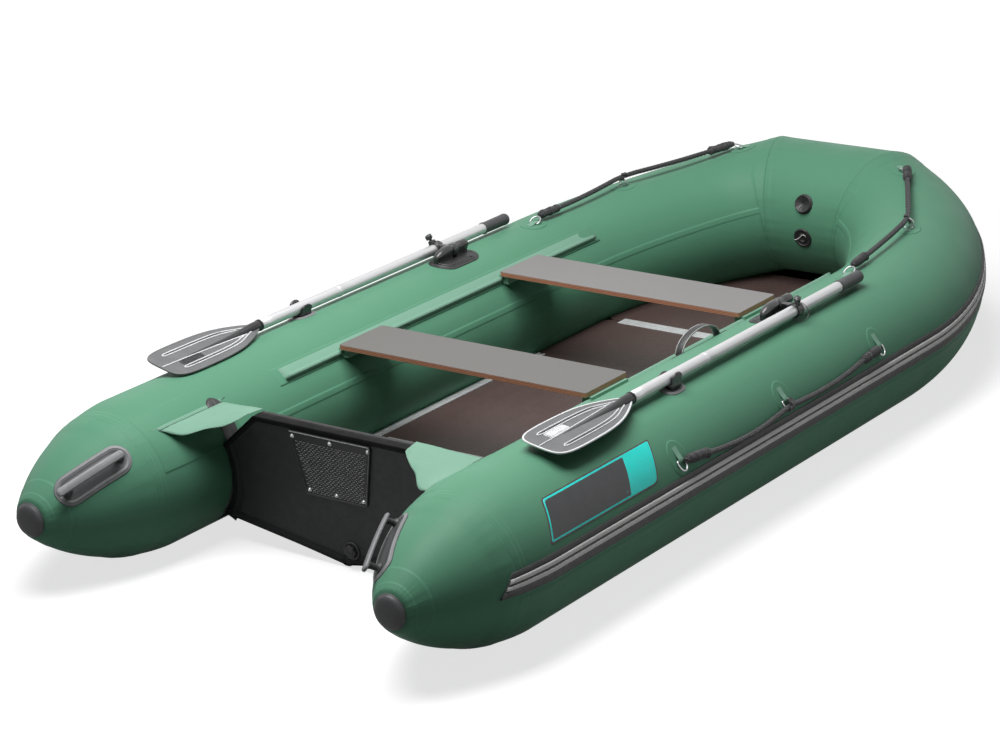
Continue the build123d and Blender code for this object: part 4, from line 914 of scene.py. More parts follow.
CAP_SCALE = 0.93
CAP_PROFILE = [(0.0001, 0.0), (0.057, 0.0), (0.0582, 0.002), (0.0578, 0.0042), (0.0555, 0.0052),
               (0.0548, 0.0060), (0.0530, 0.0095), (0.0490, 0.0130), (0.0420, 0.0155), (0.0300, 0.0170),
               (0.0150, 0.0178), (0.0001, 0.018)]
cap_fit = tube_radius(CAP_BASE_Y) / (tube_radius(CAP_BASE_Y) + 0.0078)
points, faces = spun([(r * cap_fit * CAP_SCALE, h) for r, h in CAP_PROFILE], tube_frame(CAP_BASE_Y)[0], (0, -1, 0),
                     OUT, 64)
add_both("cone_cap_rubber", points, faces, grey_rubber, replaces=("cone_cap",), slot="cap_rubber")

# ------------------------------------------------------------------ rub strake
# Its section: angle on the tube, millimetres above it, and 1 for the pale stripes.
STRAKE = ((13.5, -0.3, 0), (13.45, 1.4, 0), (13.0, 2.2, 0), (9.75, 2.2, 0), (9.55, 1.5, 0), (9.3, 1.5, 0),
          (9.15, 4.1, 1), (8.8, 4.9, 1), (6.3, 4.9, 1), (5.95, 4.1, 0), (5.8, 1.6, 0), (4.6, 1.6, 0),
          (4.45, 4.1, 1), (4.1, 4.9, 1), (1.7, 4.9, 1), (1.35, 4.1, 0), (1.2, 1.6, 0), (0.85, 1.6, 0),
          (0.6, 3.6, 0), (-0.3, 4.9, 0), (-2.9, 4.9, 0), (-4.1, 3.7, 0), (-4.45, 1.6, 0), (-4.5, -0.3, 0))
STRAKE_START = STERN_Y + 0.225


def strake_mesh(stations):
    points = []
    for kind, value in stations:
        for angle, lift, _ in STRAKE:
            here, over = value, 0.0
            if kind == "s":             # its aft end is cut at a slant, and it climbs on to the cone's edge
                here += 0.040 * max(0.0, 1 - (value - STRAKE_START) / 0.12) * (angle + 4.5) / 18
                over = 0.0026 * min(1.0, max(0.0, (CONE_SEAM_Y + 0.075 - here) / 0.05))
            points.append(hull_point((kind, here), angle, lift / 1000 + (over if lift > 0 else 0))[0])
    which = [pale for _, _, pale in STRAKE] * (len(stations) - 1) + [0, 0]
    return points, grid(len(stations), len(STRAKE)), which


strake_rows = [("s", s) for s in (*np.arange(STRAKE_START, BEND_Y, 0.03), *np.arange(BEND_Y, BEND_END, 0.016))]
strake_rows += [("stub", f) for f in (0.3, 0.6, 1.0)]
points, faces, which = strake_mesh(strake_rows)
add_both("rub_strake", points, [tuple(reversed(f)) for f in faces], [black_rubber, pale_line],
         replaces=("strake",), slot="strake_rubber", which=which)
points, faces, which = strake_mesh([("cross", f) for f in np.linspace(-1, 1, 21)])
add_piece("rub_strake_bow", points, faces, [black_rubber, pale_line], slot="strake_rubber", which=which,
          replaces=["strake_bow"])


# ------------------------------------------------------------------ things laid on the tube
def tube_patch(s, angle, outline, thick, rim=0.0016, raised=0.0):
    """A closed patch with an outline (along, around) in metres, laid on the tube."""
    size = max(math.hypot(*p) for p in outline)
    rings = [(1.0, -0.0005), (1.0, thick * 0.55), (1 - rim / size, thick), (1 - 4 * rim / size, thick + raised),
             (1 - 7 * rim / size, thick), *[(f, thick) for f in (0.7, 0.45, 0.2, 0.01)]]
    points = []
    for share, lift in rings:
        for u, v in outline:
            radius = tube_frame(s + u * share)[4]
            points.append(on_tube(s + u * share, angle + math.degrees(v * share / radius), lift)[0])
    return points, grid(len(rings), len(outline))


# Charcoal sheet with a turquoise end: a plain band where a printed sign would be. Its ends lean.
SIGN_S, SIGN_ANGLE = -0.982, 33.6
SIGN_HALF, SIGN_V, SIGN_LEAN = 0.2355, math.radians(15.0) * TUBE_R, 0.0235
for name, aft, fore, margin, thick, corner, finish, stands_for in (
        ("sign_rim", -SIGN_HALF, SIGN_HALF, 0.0, 0.0011, 0.024, sign_rim, []),
        ("sign_border", -SIGN_HALF + 0.0040, SIGN_HALF - 0.0040, 0.0035, 0.0013, 0.024, turquoise, []),
        ("sign_sheet", -SIGN_HALF + 0.0090, 0.1130, 0.0085, 0.0015, 0.004, sign_grey, ["blank_plates"])):
    v = SIGN_V - margin
    lean = SIGN_LEAN * v / SIGN_V
    outline = rounded([(aft - lean, -v), (fore - lean, -v), (fore + lean, v), (aft + lean, v)],
                      [0.004, corner, 0.004, 0.012])
    shape = Shape().add(*tube_patch(SIGN_S, SIGN_ANGLE, dense(outline, 0.012), thick, 0.0008)).both_sides()
    add_shape(name, shape, finish, slot="blank_plate", replaces=stands_for)

# ------------------------------------------------------------------ ring patches, webbing and rings
SIDE_SPOTS = [(-0.657, 27.0), (-0.140, 27.0), (0.370, 27.0)]
BOW_SPOTS = [(BEND_Y - 0.0736, 95.0, 30.0), (turn_s(20.0), 89.5, 90.0), (turn_s(59.0), 83.5, 150.0)]


def oval(length, width, steps=40):
    return [(length / 2 * math.cos(2 * math.pi * k / steps), width / 2 * math.sin(2 * math.pi * k / steps))
            for k in range(steps)]


def d_ring(held, reach, across, radius=0.0175, wire=0.0024):
    """A D-shaped ring: its straight side lies across at held, and its bow reaches away."""
    line = [held - across * (radius - 0.001)]
    for k in range(25):
        a = math.pi * (k / 24 - 0.5)
        line.append(held + reach * (0.006 + radius * 1.45 * math.cos(a) ** 0.8) + across * (radius * math.sin(a)))
    line.append(held + across * (radius - 0.001))
    line += [held + across * (radius * k / 4) for k in range(3, -4, -1)]
    normal = reach.cross(across).normalized()
    sections = []
    for k, point in enumerate(line):
        ahead = (line[(k + 1) % len(line)] - line[k - 1]).normalized()
        sections.append((point, normal, ahead.cross(normal)))
    return swept(ring(wire, 10), sections)[0], looped(len(sections), 10)


def strap_piece(line, across, width, thick):
    """A flat strap that follows a line."""
    points = []
    for k, here in enumerate(line):
        ahead = (line[min(k + 1, len(line) - 1)] - line[max(k - 1, 0)]).normalized()
        out = ahead.cross(across).normalized()
        for a, b in ((-0.5, 0), (-0.46, 0.5), (0.46, 0.5), (0.5, 0), (0.46, -0.5), (-0.46, -0.5)):
            points.append(here + across * (a * width) + out * (b * thick))
    return points, grid(len(line), 6)


LOOP_W, LOOP_T, RING_SIZE = 0.019, 0.0014, 0.0155
patches, loops, rings = Shape(), Shape(), Shape()
for s, angle in SIDE_SPOTS:
    patches.add(*tube_patch(s, angle, oval(0.074, 0.098), 0.0012, 0.0012, 0.0005))
    out = on_tube(s, angle)[1]
    down = Vector((out.z, 0, -out.x))
    # The webbing comes out of a slit, runs down over the patch and turns back round the ring.
    patches.add(*prism([(-0.010, -0.0012), (0.010, -0.0012), (0.010, 0.0012), (-0.010, 0.0012)],
                       on_tube(s, angle + angle_of(0.030))[0], AHEAD, down, 0.0, 0.0026, 0.0006))
    web = [on_tube(s, angle + angle_of(d), h)[0]
           for d, h in ((0.029, 0.0014), (0.018, 0.0020), (0.008, 0.0030), (-0.004, 0.0062), (-0.010, 0.0068),
                        (-0.0135, 0.0048), (-0.0125, 0.0022), (-0.004, 0.0018))]
    loops.add(*strap_piece(smooth_line(web), AHEAD, LOOP_W, LOOP_T))
    held = on_tube(s, angle - angle_of(0.009), 0.0036)[0]
    rings.add(*d_ring(held, (down + out * 0.10).normalized(), AHEAD, RING_SIZE))
for s, angle, lean in BOW_SPOTS:
    patches.add(*tube_patch(s, angle, oval(0.098, 0.074), 0.0012, 0.0012, 0.0005))
    along = tube_frame(s)[3]
    point, out = on_tube(s, angle)
    across = along.cross(out).normalized()
    reach = along * math.cos(math.radians(lean)) + out * math.sin(math.radians(lean))
    web = [point + along * a + out * h
           for a, h in ((-0.026, 0.0016), (-0.014, 0.0020), (-0.006, 0.0048), (0.0, 0.0066), (0.006, 0.0048),
                        (0.014, 0.0020), (0.026, 0.0016))]
    loops.add(*strap_piece(smooth_line(web), across, LOOP_W, LOOP_T))
    rings.add(*d_ring(point + out * 0.0036, reach, across, RING_SIZE))
add_shape("ring_patch_layers", patches.both_sides(), green, slot="light_fabric", replaces=["ring_patches"])
add_shape("ring_webbing", loops.both_sides(), pale_green, slot="light_fabric")
add_shape("d_rings", rings.both_sides(), steel, slot="ring_steel", replaces=["line_rings"])

# ------------------------------------------------------------------ transom
RAKE = math.radians(5.9)
FOOT_Y = STERN_Y + 0.5666
TRANSOM_T = 0.038
TOP_Z, TOP_X = 0.387, 0.250
DEADRISE = 0.16
AFT_WAY = Vector((0, -math.cos(RAKE), -math.sin(RAKE)))
UP_FACE = Vector((0, -math.sin(RAKE), math.cos(RAKE)))


def transom_point(x, z, depth):
    """A point at a height on the transom's aft face, or depth metres aft of it."""
    up = (z + depth * math.sin(RAKE)) / math.cos(RAKE)
    return Vector((x, FOOT_Y, 0)) + UP_FACE * up + AFT_WAY * depth


def keep_node(name, *materials):
    """A CAD node that keeps its shape and gets a material."""
    mesh = nodes[name].data
    mesh.materials.clear()
    for one in materials:
        mesh.materials.append(one)
    return nodes[name]


def inward_normals(line):
    """Normals to the right of a line of (x, z)."""
    made = []
    for k in range(len(line)):
        a, b = Vector(line[max(k - 1, 0)]), Vector(line[min(k + 1, len(line) - 1)])
        way = (b - a).normalized()
        made.append((way.y, -way.x))
    return made


keep_node("transom", painted_black)
shoulder_x, shoulder_z = 0.3722, 0.2806
corner = rounded([(-shoulder_x, shoulder_z), (-TOP_X, TOP_Z), (TOP_X, TOP_Z), (shoulder_x, shoulder_z)],
                 [0, 0.018, 0.018, 0], 8)
edge_line = [p for a, b in zip(corner, corner[1:]) for p in between(a, b, 0.03)] + [corner[-1]]
T, LIP = TRANSOM_T, 0.0125
# The edging's section: metres in from the board's edge, and aft of its aft face.
EDGING = ((LIP, 0.0003), (LIP, 0.0016), (LIP - 0.0012, 0.0024), (0.006, 0.0024), (0.0052, 0.0032),
          (0.0030, 0.0034), (0.0014, 0.0030), (-0.0004, 0.0030), (-0.0022, 0.0018), (-0.0030, 0.0),
          (-0.0030, -0.010), (-0.0038, -0.0125), (-0.0038, -0.0255), (-0.0030, -0.028), (-0.0030, -T),
          (-0.0022, -T - 0.0018), (-0.0004, -T - 0.0030), (0.0014, -T - 0.0030), (0.0030, -T - 0.0034),
          (0.0052, -T - 0.0032), (0.006, -T - 0.0024), (LIP - 0.0012, -T - 0.0024), (LIP, -T - 0.0016),
          (LIP, -T - 0.0003), (-0.0002, -T - 0.0003), (-0.0002, 0.0003))
points = [transom_point(x + nx * a, z + nz * a, d)
          for (x, z), (nx, nz) in zip(edge_line, inward_normals(edge_line)) for a, d in EDGING]
points, faces = bevelled(points, grid(len(edge_line), len(EDGING)), 0.0005, 1, 50)
add_piece("transom_edging", points, faces, edging_black, slot="cap_rubber")

# The fabric that holds the transom laps on to its faces, along the tubes and along the bottom.
LAP_R = 0.2152                       # the line of the laps along the tube
side_arc = [(TUBE_X + LAP_R * math.cos(a), TUBE_R + LAP_R * math.sin(a))
            for a in np.radians(np.linspace(160.0, 218.9, 30))]
many = len(side_arc)
lap_line = [(0.3685, 0.2835), *side_arc[1:], *((x, 0.0116 + DEADRISE * x) for x in np.linspace(0.398, 0.0, 22))]
SIDE_LAP, BOTTOM_LAP = 0.036, 0.024  # widths
lap_widths = [SIDE_LAP] * (many + 2) + [BOTTOM_LAP] * (len(lap_line) - many - 2)
# The normals face into the board, which lies inboard of the tube and above the bottom.
BOTTOM_NORMAL = (-0.158, 0.987)
normals = [(-abs(nx), nz) if k < many else BOTTOM_NORMAL for k, (nx, nz) in enumerate(inward_normals(lap_line))]
laps = Shape()
for depth, face_way in ((0.0, 1), (-TRANSOM_T, -1)):
    points = []
    for (x, z), (nx, nz), width in zip(lap_line, normals, lap_widths):
        section = ((-0.0004, -0.0002), (-0.0004, 0.0018), (width * 0.42, 0.0019), (width * 0.45, 0.0030),
                   (width * 0.49, 0.0030), (width * 0.52, 0.0017), (width - 0.0016, 0.0015), (width, 0.0008),
                   (width, -0.0002))
        points += [transom_point(max(x + nx * a, 0.0), z + nz * a, depth + face_way * d) for a, d in section]
    laps.add(points, grid(len(lap_line), len(section)))
add_shape("transom_laps", laps.both_sides(), charcoal, slot="bottom_fabric")


def tube_layer(spans, thick, lift_of=None, step=1.6):
    """A closed layer on the tube: spans are (s, low angle, high angle), in order along the tube."""
    count = max(8, int(max(high - low for _, low, high in spans) / step))
    points = []
    # Its ends and sides go down just under the tube's skin.
    for k, (s, low, high) in [(-1, spans[0]), *enumerate(spans), (-1, spans[-1])]:
        angles = [low, *(low + (high - low) * j / count for j in range(count + 1)), high]
        for j, angle in enumerate(angles):
            if k < 0 or j in (0, count + 2):
                lift = -0.0004
            elif k in (0, len(spans) - 1) or j in (1, count + 1):
                lift = thick * 0.55
            else:
                lift = lift_of(s, angle) if lift_of else thick
            points.append(hull_point(("s", s), angle, lift)[0])
    return points, grid(len(spans) + 2, count + 3)


def rounded_spans(s_range, angles, corner_low, corner_high, step=0.006):
    """Spans of a rectangle with rounded corners: the corner radius at the low and at the high angle."""
    s_low, s_high = s_range
    rows = sorted(set(np.linspace(s_low, s_high, max(6, int((s_high - s_low) / step))))
                  | {s_low + 0.0012, s_high - 0.0012})
    spans = []
    for s in rows:
        edge = min(s - s_low, s_high - s)
        cuts = []
        for radius in (corner_low, corner_high):
            inside = max(0.0, radius - edge)
            cuts.append(angle_of(radius - math.sqrt(max(radius**2 - inside**2, 0.0))) if radius else 0.0)
        spans.append((s, angles[0] + cuts[0], angles[1] - cuts[1]))
    return spans


FLANGE_S, FLANGE_ANGLES, FLANGE_T = (-1.0980, -1.0445), (124.0, 218.8), 0.0036


def flange_lift(s, _):
    """The flange with its three ridges."""
    lift = FLANGE_T
    for line, height in ((-1.0880, 0.0014), (-1.0800, 0.0012), (-1.064, 0.0014)):
        lift += height * max(0.0, 1 - abs(s - line) / 0.0035)
    return lift


spans = rounded_spans(FLANGE_S, FLANGE_ANGLES, 0.030, 0.0, 0.0022)
flanges = Shape().add(*tube_layer(spans, FLANGE_T, flange_lift, 3.0)).both_sides()
add_shape("transom_tube_flanges", flanges, black_rubber, slot="cap_rubber", replaces=["transom_flanges"])
spans = rounded_spans((-1.300, -1.060), (113.0, 150.0), 0.012, 0.0, 0.006)
add_shape("flange_backing", Shape().add(*tube_layer(spans, 0.0010)).both_sides(), green, slot="light_fabric")

# Motor plates: a raised rim, rows of short bars, and screws. The bars and a thin line on the rim are pale grey, as
# painted highlight on the black plate.
PLATE_LOW_Z, PLATE_HIGH_Z, PLATE_LOW_X, PLATE_HIGH_X = 0.194, 0.372, 0.100, 0.136
BAR_ROWS, BAR_RISE, BAR_PITCH = 26, 0.0056, 0.013


def plate_half(z):
    return PLATE_LOW_X + (PLATE_HIGH_X - PLATE_LOW_X) * (z - PLATE_LOW_Z) / (PLATE_HIGH_Z - PLATE_LOW_Z)


def motor_plate(face_way):
    start = 0.0 if face_way > 0 else -TRANSOM_T

    def at(x, z, height):
        return transom_point(x, z, start + face_way * height)

    outline = dense(rounded([(-PLATE_LOW_X, PLATE_LOW_Z), (PLATE_LOW_X, PLATE_LOW_Z), (PLATE_HIGH_X, PLATE_HIGH_Z),
                             (-PLATE_HIGH_X, PLATE_HIGH_Z)], 0.010, 6), 0.02)
    rings = [(0.0, 0.0), (0.0, 0.0046), (0.0014, 0.0062), (0.0040, 0.0064), (0.0056, 0.0050), (0.0064, 0.0032)]
    points = [at(x, z, height) for distance, height in rings for x, z in inset(outline, distance)]
    middle = (PLATE_LOW_Z + PLATE_HIGH_Z) / 2
    points += [at(x * share, middle + (z - middle) * share, 0.0032)
               for share in (0.6, 0.3, 0.02) for x, z in outline]
    shape = Shape().add(points, grid(len(rings) + 3, len(outline)))
    # The bars' pale grey is painted highlight.
    for row in range(BAR_ROWS):                     # rows of short bars, every second one shifted
        z = 0.2035 + row * BAR_RISE
        half = plate_half(z) - 0.0105
        shift = BAR_PITCH / 2 if row % 2 else 0.0
        for k in range(-12, 13):
            x = k * BAR_PITCH + shift
            if abs(x) + 0.0043 > half:
                continue
            bar = [at(x + a * dx, z + b * dz, h)
                   for dx, dz, h in ((0.0043, 0.0010, 0.0028), (0.0038, 0.0005, 0.0047))
                   for a, b in ((-1, -1), (1, -1), (1, 1), (-1, 1))]
            shape.add(bar, [(3, 2, 1, 0), (4, 5, 6, 7), (0, 1, 5, 4), (1, 2, 6, 5), (2, 3, 7, 6), (3, 0, 4, 7)], 1)
    # A thin pale line along the rim's top edge and its starboard slant: a painted highlight.
    edge = 0.0026
    line = [(-PLATE_HIGH_X + 0.008, PLATE_HIGH_Z - edge), (PLATE_HIGH_X - 0.010, PLATE_HIGH_Z - edge),
            (PLATE_HIGH_X - edge - 0.001, PLATE_HIGH_Z - 0.010), (PLATE_LOW_X - edge + 0.001, PLATE_LOW_Z + 0.008)]
    rim = [at(a[0] * (1 - f) + b[0] * f, a[1] * (1 - f) + b[1] * f, 0.0062)
           for a, b in zip(line, line[1:]) for f in np.linspace(0, 1, 9)[:-1]]
    return shape.add(*swept(ring(0.0012, 6), path_frames([*rim, at(*line[-1], 0.0062)])), 1)


for node_name, face_way in (("motor_plate_outer", 1), ("motor_plate_inner", -1)):
    shape = motor_plate(face_way)
    add_shape(f"{node_name}_ribbed", shape, [plate_black, plate_bar_painted_highlight], slot="motor_plate", which=shape.which,
              smooth=False, replaces=[node_name])
screws = Shape()
for x, z in ((0, 0.3565), (-0.1240, 0.3565), (0.1240, 0.3565), (0, 0.2085), (-0.0890, 0.2085), (0.0890, 0.2085)):
    for start, face_way in ((0.0, 1), (-TRANSOM_T, -1)):
        base = transom_point(x, z, start + face_way * 0.0030)
        way = AFT_WAY * face_way
        screws.add(*spun([(0.0001, 0.0), (0.0064, 0.0), (0.0064, 0.0008), (0.0058, 0.0013), (0.0046, 0.0014),
                          (0.0044, 0.0028), (0.0034, 0.0040), (0.0018, 0.0045), (0.0014, 0.0036), (0.0001, 0.0034)],
                         base, way, OUT, 20))
add_shape("motor_plate_screws", screws, steel, slot="ring_steel")


def lobed(radius, depth, lobes, steps, least=-1.0):
    """A round outline with lobes, whose valleys are cut off at the least share of their depth."""
    turns = [2 * math.pi * k / steps for k in range(steps)]
    sizes = [radius + depth * max(least, math.cos(lobes * a)) for a in turns]
    return [(r * math.cos(a), r * math.sin(a)) for r, a in zip(sizes, turns)]


plug_base = transom_point(0.0245, 0.054, 0.0)
plug = Shape().add(*spun([(0.0001, 0.0), (0.0265, 0.0), (0.0265, 0.0026), (0.0252, 0.0038), (0.0205, 0.0042),
                          (0.0196, 0.0034), (0.0182, 0.0034), (0.0001, 0.0034)], plug_base, AFT_WAY, OUT, 40))
plug.add(*prism(lobed(0.0170, 0.0018, 7, 84, -0.4), plug_base, OUT, AFT_WAY.cross(OUT), 0.003, 0.0125, 0.0012, 2))
plug.add(*spun([(0.0001, 0.011), (0.0112, 0.011), (0.0112, 0.0135), (0.0100, 0.0142), (0.0070, 0.0138),
                (0.0001, 0.0136)], plug_base, AFT_WAY, OUT, 32))
add_shape("drain_plug_cap", plug, black_rubber, slot="black_plastic", replaces=["drain_plug"])


# ------------------------------------------------------------------ gussets
def thick_sheet(rows, columns, point, thick):
    """A closed thin sheet over a grid of points, and its area."""
    middle = [[point(i, j) for j in range(columns)] for i in range(rows)]
    tops, bottoms = [], []
    for i in range(rows):
        for j in range(columns):
            a = middle[min(i + 1, rows - 1)][j] - middle[max(i - 1, 0)][j]
            b = middle[i][min(j + 1, columns - 1)] - middle[i][max(j - 1, 0)]
            normal = a.cross(b).normalized()
            tops.append(middle[i][j] + normal * (thick / 2))
            bottoms.append(middle[i][j] - normal * (thick / 2))
    faces, many = [], rows * columns
    area = 0.0
    for i in range(rows - 1):
        for j in range(columns - 1):
            q = (i * columns + j, i * columns + j + 1, (i + 1) * columns + j + 1, (i + 1) * columns + j)
            faces += [q, tuple(many + k for k in reversed(q))]
            m = [middle[i][j], middle[i][j + 1], middle[i + 1][j + 1], middle[i + 1][j]]
            area += ((m[1] - m[0]).cross(m[2] - m[0]).length + (m[2] - m[0]).cross(m[3] - m[0]).length) / 2
    border = [*range(columns), *(i * columns + columns - 1 for i in range(1, rows))]
    border += [(rows - 1) * columns + j for j in range(columns - 2, -1, -1)]
    border += [i * columns for i in range(rows - 2, 0, -1)]
    for a, b in zip(border, border[1:] + border[:1]):
        faces.append((b, a, many + a, many + b))
    return tops + bottoms, faces, area


WELD = 0.66                          # the share of the gusset that hangs free, before its weld to the tube


def gusset_point(u, v):
    """u runs from the transom outboard and up the tube, v from the fore edge to the aft edge."""
    fore, aft, contact = -1.0400, -1.2905, 131.2
    s_weld = fore + (aft - fore) * v
    if u <= WELD:
        f = u / WELD
        inner = Vector((0.2515 + 0.012 * v, -1.0830 - 0.0620 * v, 0.3950))
        point = inner.lerp(on_tube(s_weld, contact, 0.0009)[0], f)
        sag = 0.026 * math.sin(math.pi * min(1, f * 1.05)) * v**2.2
        wave = 0.0065 * math.sin(2 * math.pi * (1.35 * f + 0.12)) * v**3 * math.sin(math.pi * f) ** 0.6
        wave += 0.0016 * math.sin(2 * math.pi * (2.8 * f + 0.3)) * v**2 * (1 - f)
        point.z -= sag + wave
        point.y -= 0.007 * math.sin(2 * math.pi * (1.3 * f + 0.30)) * v**3 * math.sin(math.pi * f)
        point.z += 0.0012 * noise.noise(Vector((f * 4, v * 5, 1.3)))
        return point
    f = (u - WELD) / (1 - WELD)
    narrow = 0.020 * max(0.0, f - 0.55) ** 2 * 5
    s = s_weld + (0.5 - v) * 2 * narrow
    return on_tube(s, contact - angle_of(0.010) * f, 0.0013 + 0.0002 * (1 - f))[0]


us = [*np.linspace(0, WELD, 26), *np.linspace(WELD + 0.008, 1.0, 6)]
vs = np.linspace(0, 1, 22)
points, faces, gusset_area = thick_sheet(len(us), len(vs), lambda i, j: gusset_point(us[i], vs[j]), 0.0014)
gussets = add_both("transom_gusset", points, faces, pale_green, replaces=("gusset",), slot="light_fabric")

# ------------------------------------------------------------------ bottom
def bottom_rows():
    """Rows of the bottom: the keel's point, and the station and angle where the fabric meets the tube."""
    skin_aft = FOOT_Y - 0.0010
    rows = [(Vector((0, y, 0.0075)), ("s", y), 220.9) for y in np.linspace(skin_aft, BEND_Y, 30)]
    marks = [(0.0, BEND_Y, 0.0075, 220.9)]
    for turn, below, keel in ((24.0, 58.0, 0.016), (40.0, 72.0, 0.040), (51.6, 80.0, 0.062)):
        edge = hull_point(("s", turn_s(turn)), 180 + below)[0]
        marks.append((turn, edge.y, keel + 0.0015, 180.0 + below))
    end_z = CROSS_Z - math.sqrt(TUBE_R**2 - 0.060**2)
    marks.append((63.0, CROSS_Y + 0.030, end_z - 0.0045, 270.5))
    turns = [m[0] for m in marks]
    for turn in np.linspace(2, 63, 28):
        y, z, angle = (float(np.interp(turn, turns, [m[k] for m in marks])) for k in (1, 2, 3))
        rows.append((Vector((0, y, z)), ("s", turn_s(turn)), angle))
    return rows


bottom_stations = bottom_rows()
LAP_STEPS = (0.0, 0.010, 0.020, 0.032)
HALF_COLUMNS = 14


def bottom_point(i, j):
    """Columns run from the port lap over the keel to the starboard lap."""
    k = j - HALF_COLUMNS - len(LAP_STEPS) + 1
    side, k = (1 if k >= 0 else -1), abs(k)
    keel, station, angle = bottom_stations[i]
    if k <= HALF_COLUMNS:
        f = k / HALF_COLUMNS
        point = keel.lerp(hull_point(station, angle, 0.0008)[0], f)
        point.z += 0.0025 * math.sin(math.pi * f) * (1 if f < 1 else 0) - 0.0008 * (1 - f)
    else:
        point = hull_point(station, angle + angle_of(LAP_STEPS[k - HALF_COLUMNS]), 0.0009)[0]
    point.x = point.x * side if k else 0.0
    return point


columns_bottom = 2 * (HALF_COLUMNS + len(LAP_STEPS) - 1) + 1
points, faces, bottom_area = thick_sheet(len(bottom_stations), columns_bottom, bottom_point, 0.0016)
bottom = add_piece("bottom_fabric", points, faces, charcoal, slot="bottom_fabric", replaces=["bottom_skin"])
keel_y = [*np.linspace(FOOT_Y + 0.002, BEND_Y, 24), *np.linspace(BEND_Y + 0.03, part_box("keel_strip")[1].y, 16)]
keel_section = [(-0.018, 0.0), (-0.0150, -0.0035), (-0.0060, -0.0055), (0.0060, -0.0055), (0.0150, -0.0035),
                (0.018, 0.0), (0.0, 0.0020)]
keel_points = []
for y in keel_y:
    z = float(np.interp(y, [row[0].y for row in bottom_stations], [row[0].z for row in bottom_stations]))
    keel_points += [(x, y, max(z + h + 0.16 * abs(x) * (1 if y < BEND_Y else 0.5), 0.0)) for x, h in keel_section]
add_piece("keel_rubber", keel_points, grid(len(keel_y), len(keel_section)), black_rubber, slot="cap_rubber",
          smooth=False, replaces=["keel_strip"])

# ------------------------------------------------------------------ seat rails
half = 0.0058
RAIL = [(-0.0085, -0.0004), (-0.0085, 0.0006), (-0.0062, 0.0010), (-half, 0.0026), (-half - 0.0004, 0.0095),
        (-half + 0.0006, 0.0122), (-half + 0.0030, 0.0136), (0.0, 0.0140), (half - 0.0030, 0.0136),
        (half - 0.0006, 0.0122), (half + 0.0004, 0.0095), (half, 0.0030), (0.0066, 0.0014), (0.0120, 0.0011),
        (0.0330, 0.0010), (0.0345, 0.0006), (0.0345, -0.0004)]
rail_rows = [("s", s) for s in (*np.arange(FOOT_Y + 0.2934, BEND_Y, 0.04), *np.linspace(BEND_Y, turn_s(3.4), 4))]
points = [hull_point(station, 135 - math.degrees(d / (TUBE_R + h)), h)[0]
          for station in rail_rows for d, h in RAIL]
rails = Shape().add(points, grid(len(rail_rows), len(RAIL))).both_sides()
add_shape("seat_rail_strips", rails, pale_green, slot="light_fabric", replaces=["seat_rails"])
spans = [(s, 123.0, 139.5) for s in (FOOT_Y + 0.262, FOOT_Y + 0.2632, *np.arange(FOOT_Y + 0.30, BEND_Y, 0.05),
                                     BEND_Y, turn_s(4.6), turn_s(4.65))]
add_shape("rail_backing", Shape().add(*tube_layer(spans, 0.0007)).both_sides(), green, slot="light_fabric")

# ------------------------------------------------------------------ benches
for end, tint in (("aft", bench_top_aft), ("fore", bench_top_fore)):
    low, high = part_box(f"bench_{end}")
    outline = rounded([(low.x, low.y), (high.x, low.y), (high.x, high.y), (low.x, high.y)], 0.010, 6)
    points, faces = prism(outline, (0, 0, 0), OUT, AHEAD, low.z, high.z)
    points, faces = bevelled(points, faces, 0.0012, 2, 40)
    bare = []                                       # the board's edges show its layers
    for face in faces:
        a, b, c = (Vector(points[k]) for k in face[:3])
        bare.append(0 if abs((b - a).cross(c - a).normalized().z) > 0.85 else 1)
    add_piece(f"bench_board_{end}", points, faces, [tint, ply_bare], body=f"bench_{end}", slot="bench_plywood",
              which=bare, smooth=False, replaces=[f"bench_{end}"])
    keep_node(f"bench_{end}_runners", pale_green)

# ------------------------------------------------------------------ floor
for name in ("floor_board_1", "floor_board_2", "floor_board_3", "floor_board_bow"):
    board = keep_node(name, floor_ply)
    weld = board.modifiers.new("weld", "WELD")
    weld.merge_threshold = 0.00002
    soft = board.modifiers.new("soft edges", "BEVEL")
    soft.width, soft.segments, soft.limit_method, soft.angle_limit = 0.0009, 2, "ANGLE", math.radians(40)

stringer_low, stringer_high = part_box("stringers")
outer = stringer_high.x
# The section: metres inboard of the outer edge, and height.
LIP_IN, LOW_LIP_IN = 0.0348, 0.0268
PROFILE = [(LOW_LIP_IN, 0.0852), (0.001, 0.0852), (0, 0.0862), (0, 0.1012), (0.0008, 0.1024), (0.0090, 0.1026),
           (0.0098, 0.1030), (0.0104, 0.1046), (0.0118, 0.1054), (0.0150, 0.1054), (0.0164, 0.1046),
           (0.0168, 0.1030), (0.0178, 0.1022), (0.0212, 0.1022), (0.0214, 0.1029), (0.0222, 0.1029),
           (0.0226, 0.1022), (0.0268, 0.1022), (0.0276, 0.1030), (0.0282, 0.1044), (0.0296, 0.1052),
           (0.0330, 0.1050), (0.0346, 0.1040), (LIP_IN, 0.1004), (0.0025, 0.1003), (0.0025, 0.0877),
           (LOW_LIP_IN, 0.0877)]
stringer_y = np.linspace(stringer_low.y, stringer_high.y, 12)
points = [(outer - inboard, y, z) for y in stringer_y for inboard, z in PROFILE]
bars = Shape().add(points, grid(len(stringer_y), len(PROFILE))).both_sides()
points, faces = bevelled(bars.points, bars.faces, 0.00025, 1, 60)
add_piece("stringer_profiles", points, faces, aluminium, slot="aluminium", smooth=False, replaces=["stringers"])


def box_outline(x_low, x_high, y_low, y_high, radius):
    return rounded([(x_low, y_low), (x_high, y_low), (x_high, y_high), (x_low, y_high)], radius)


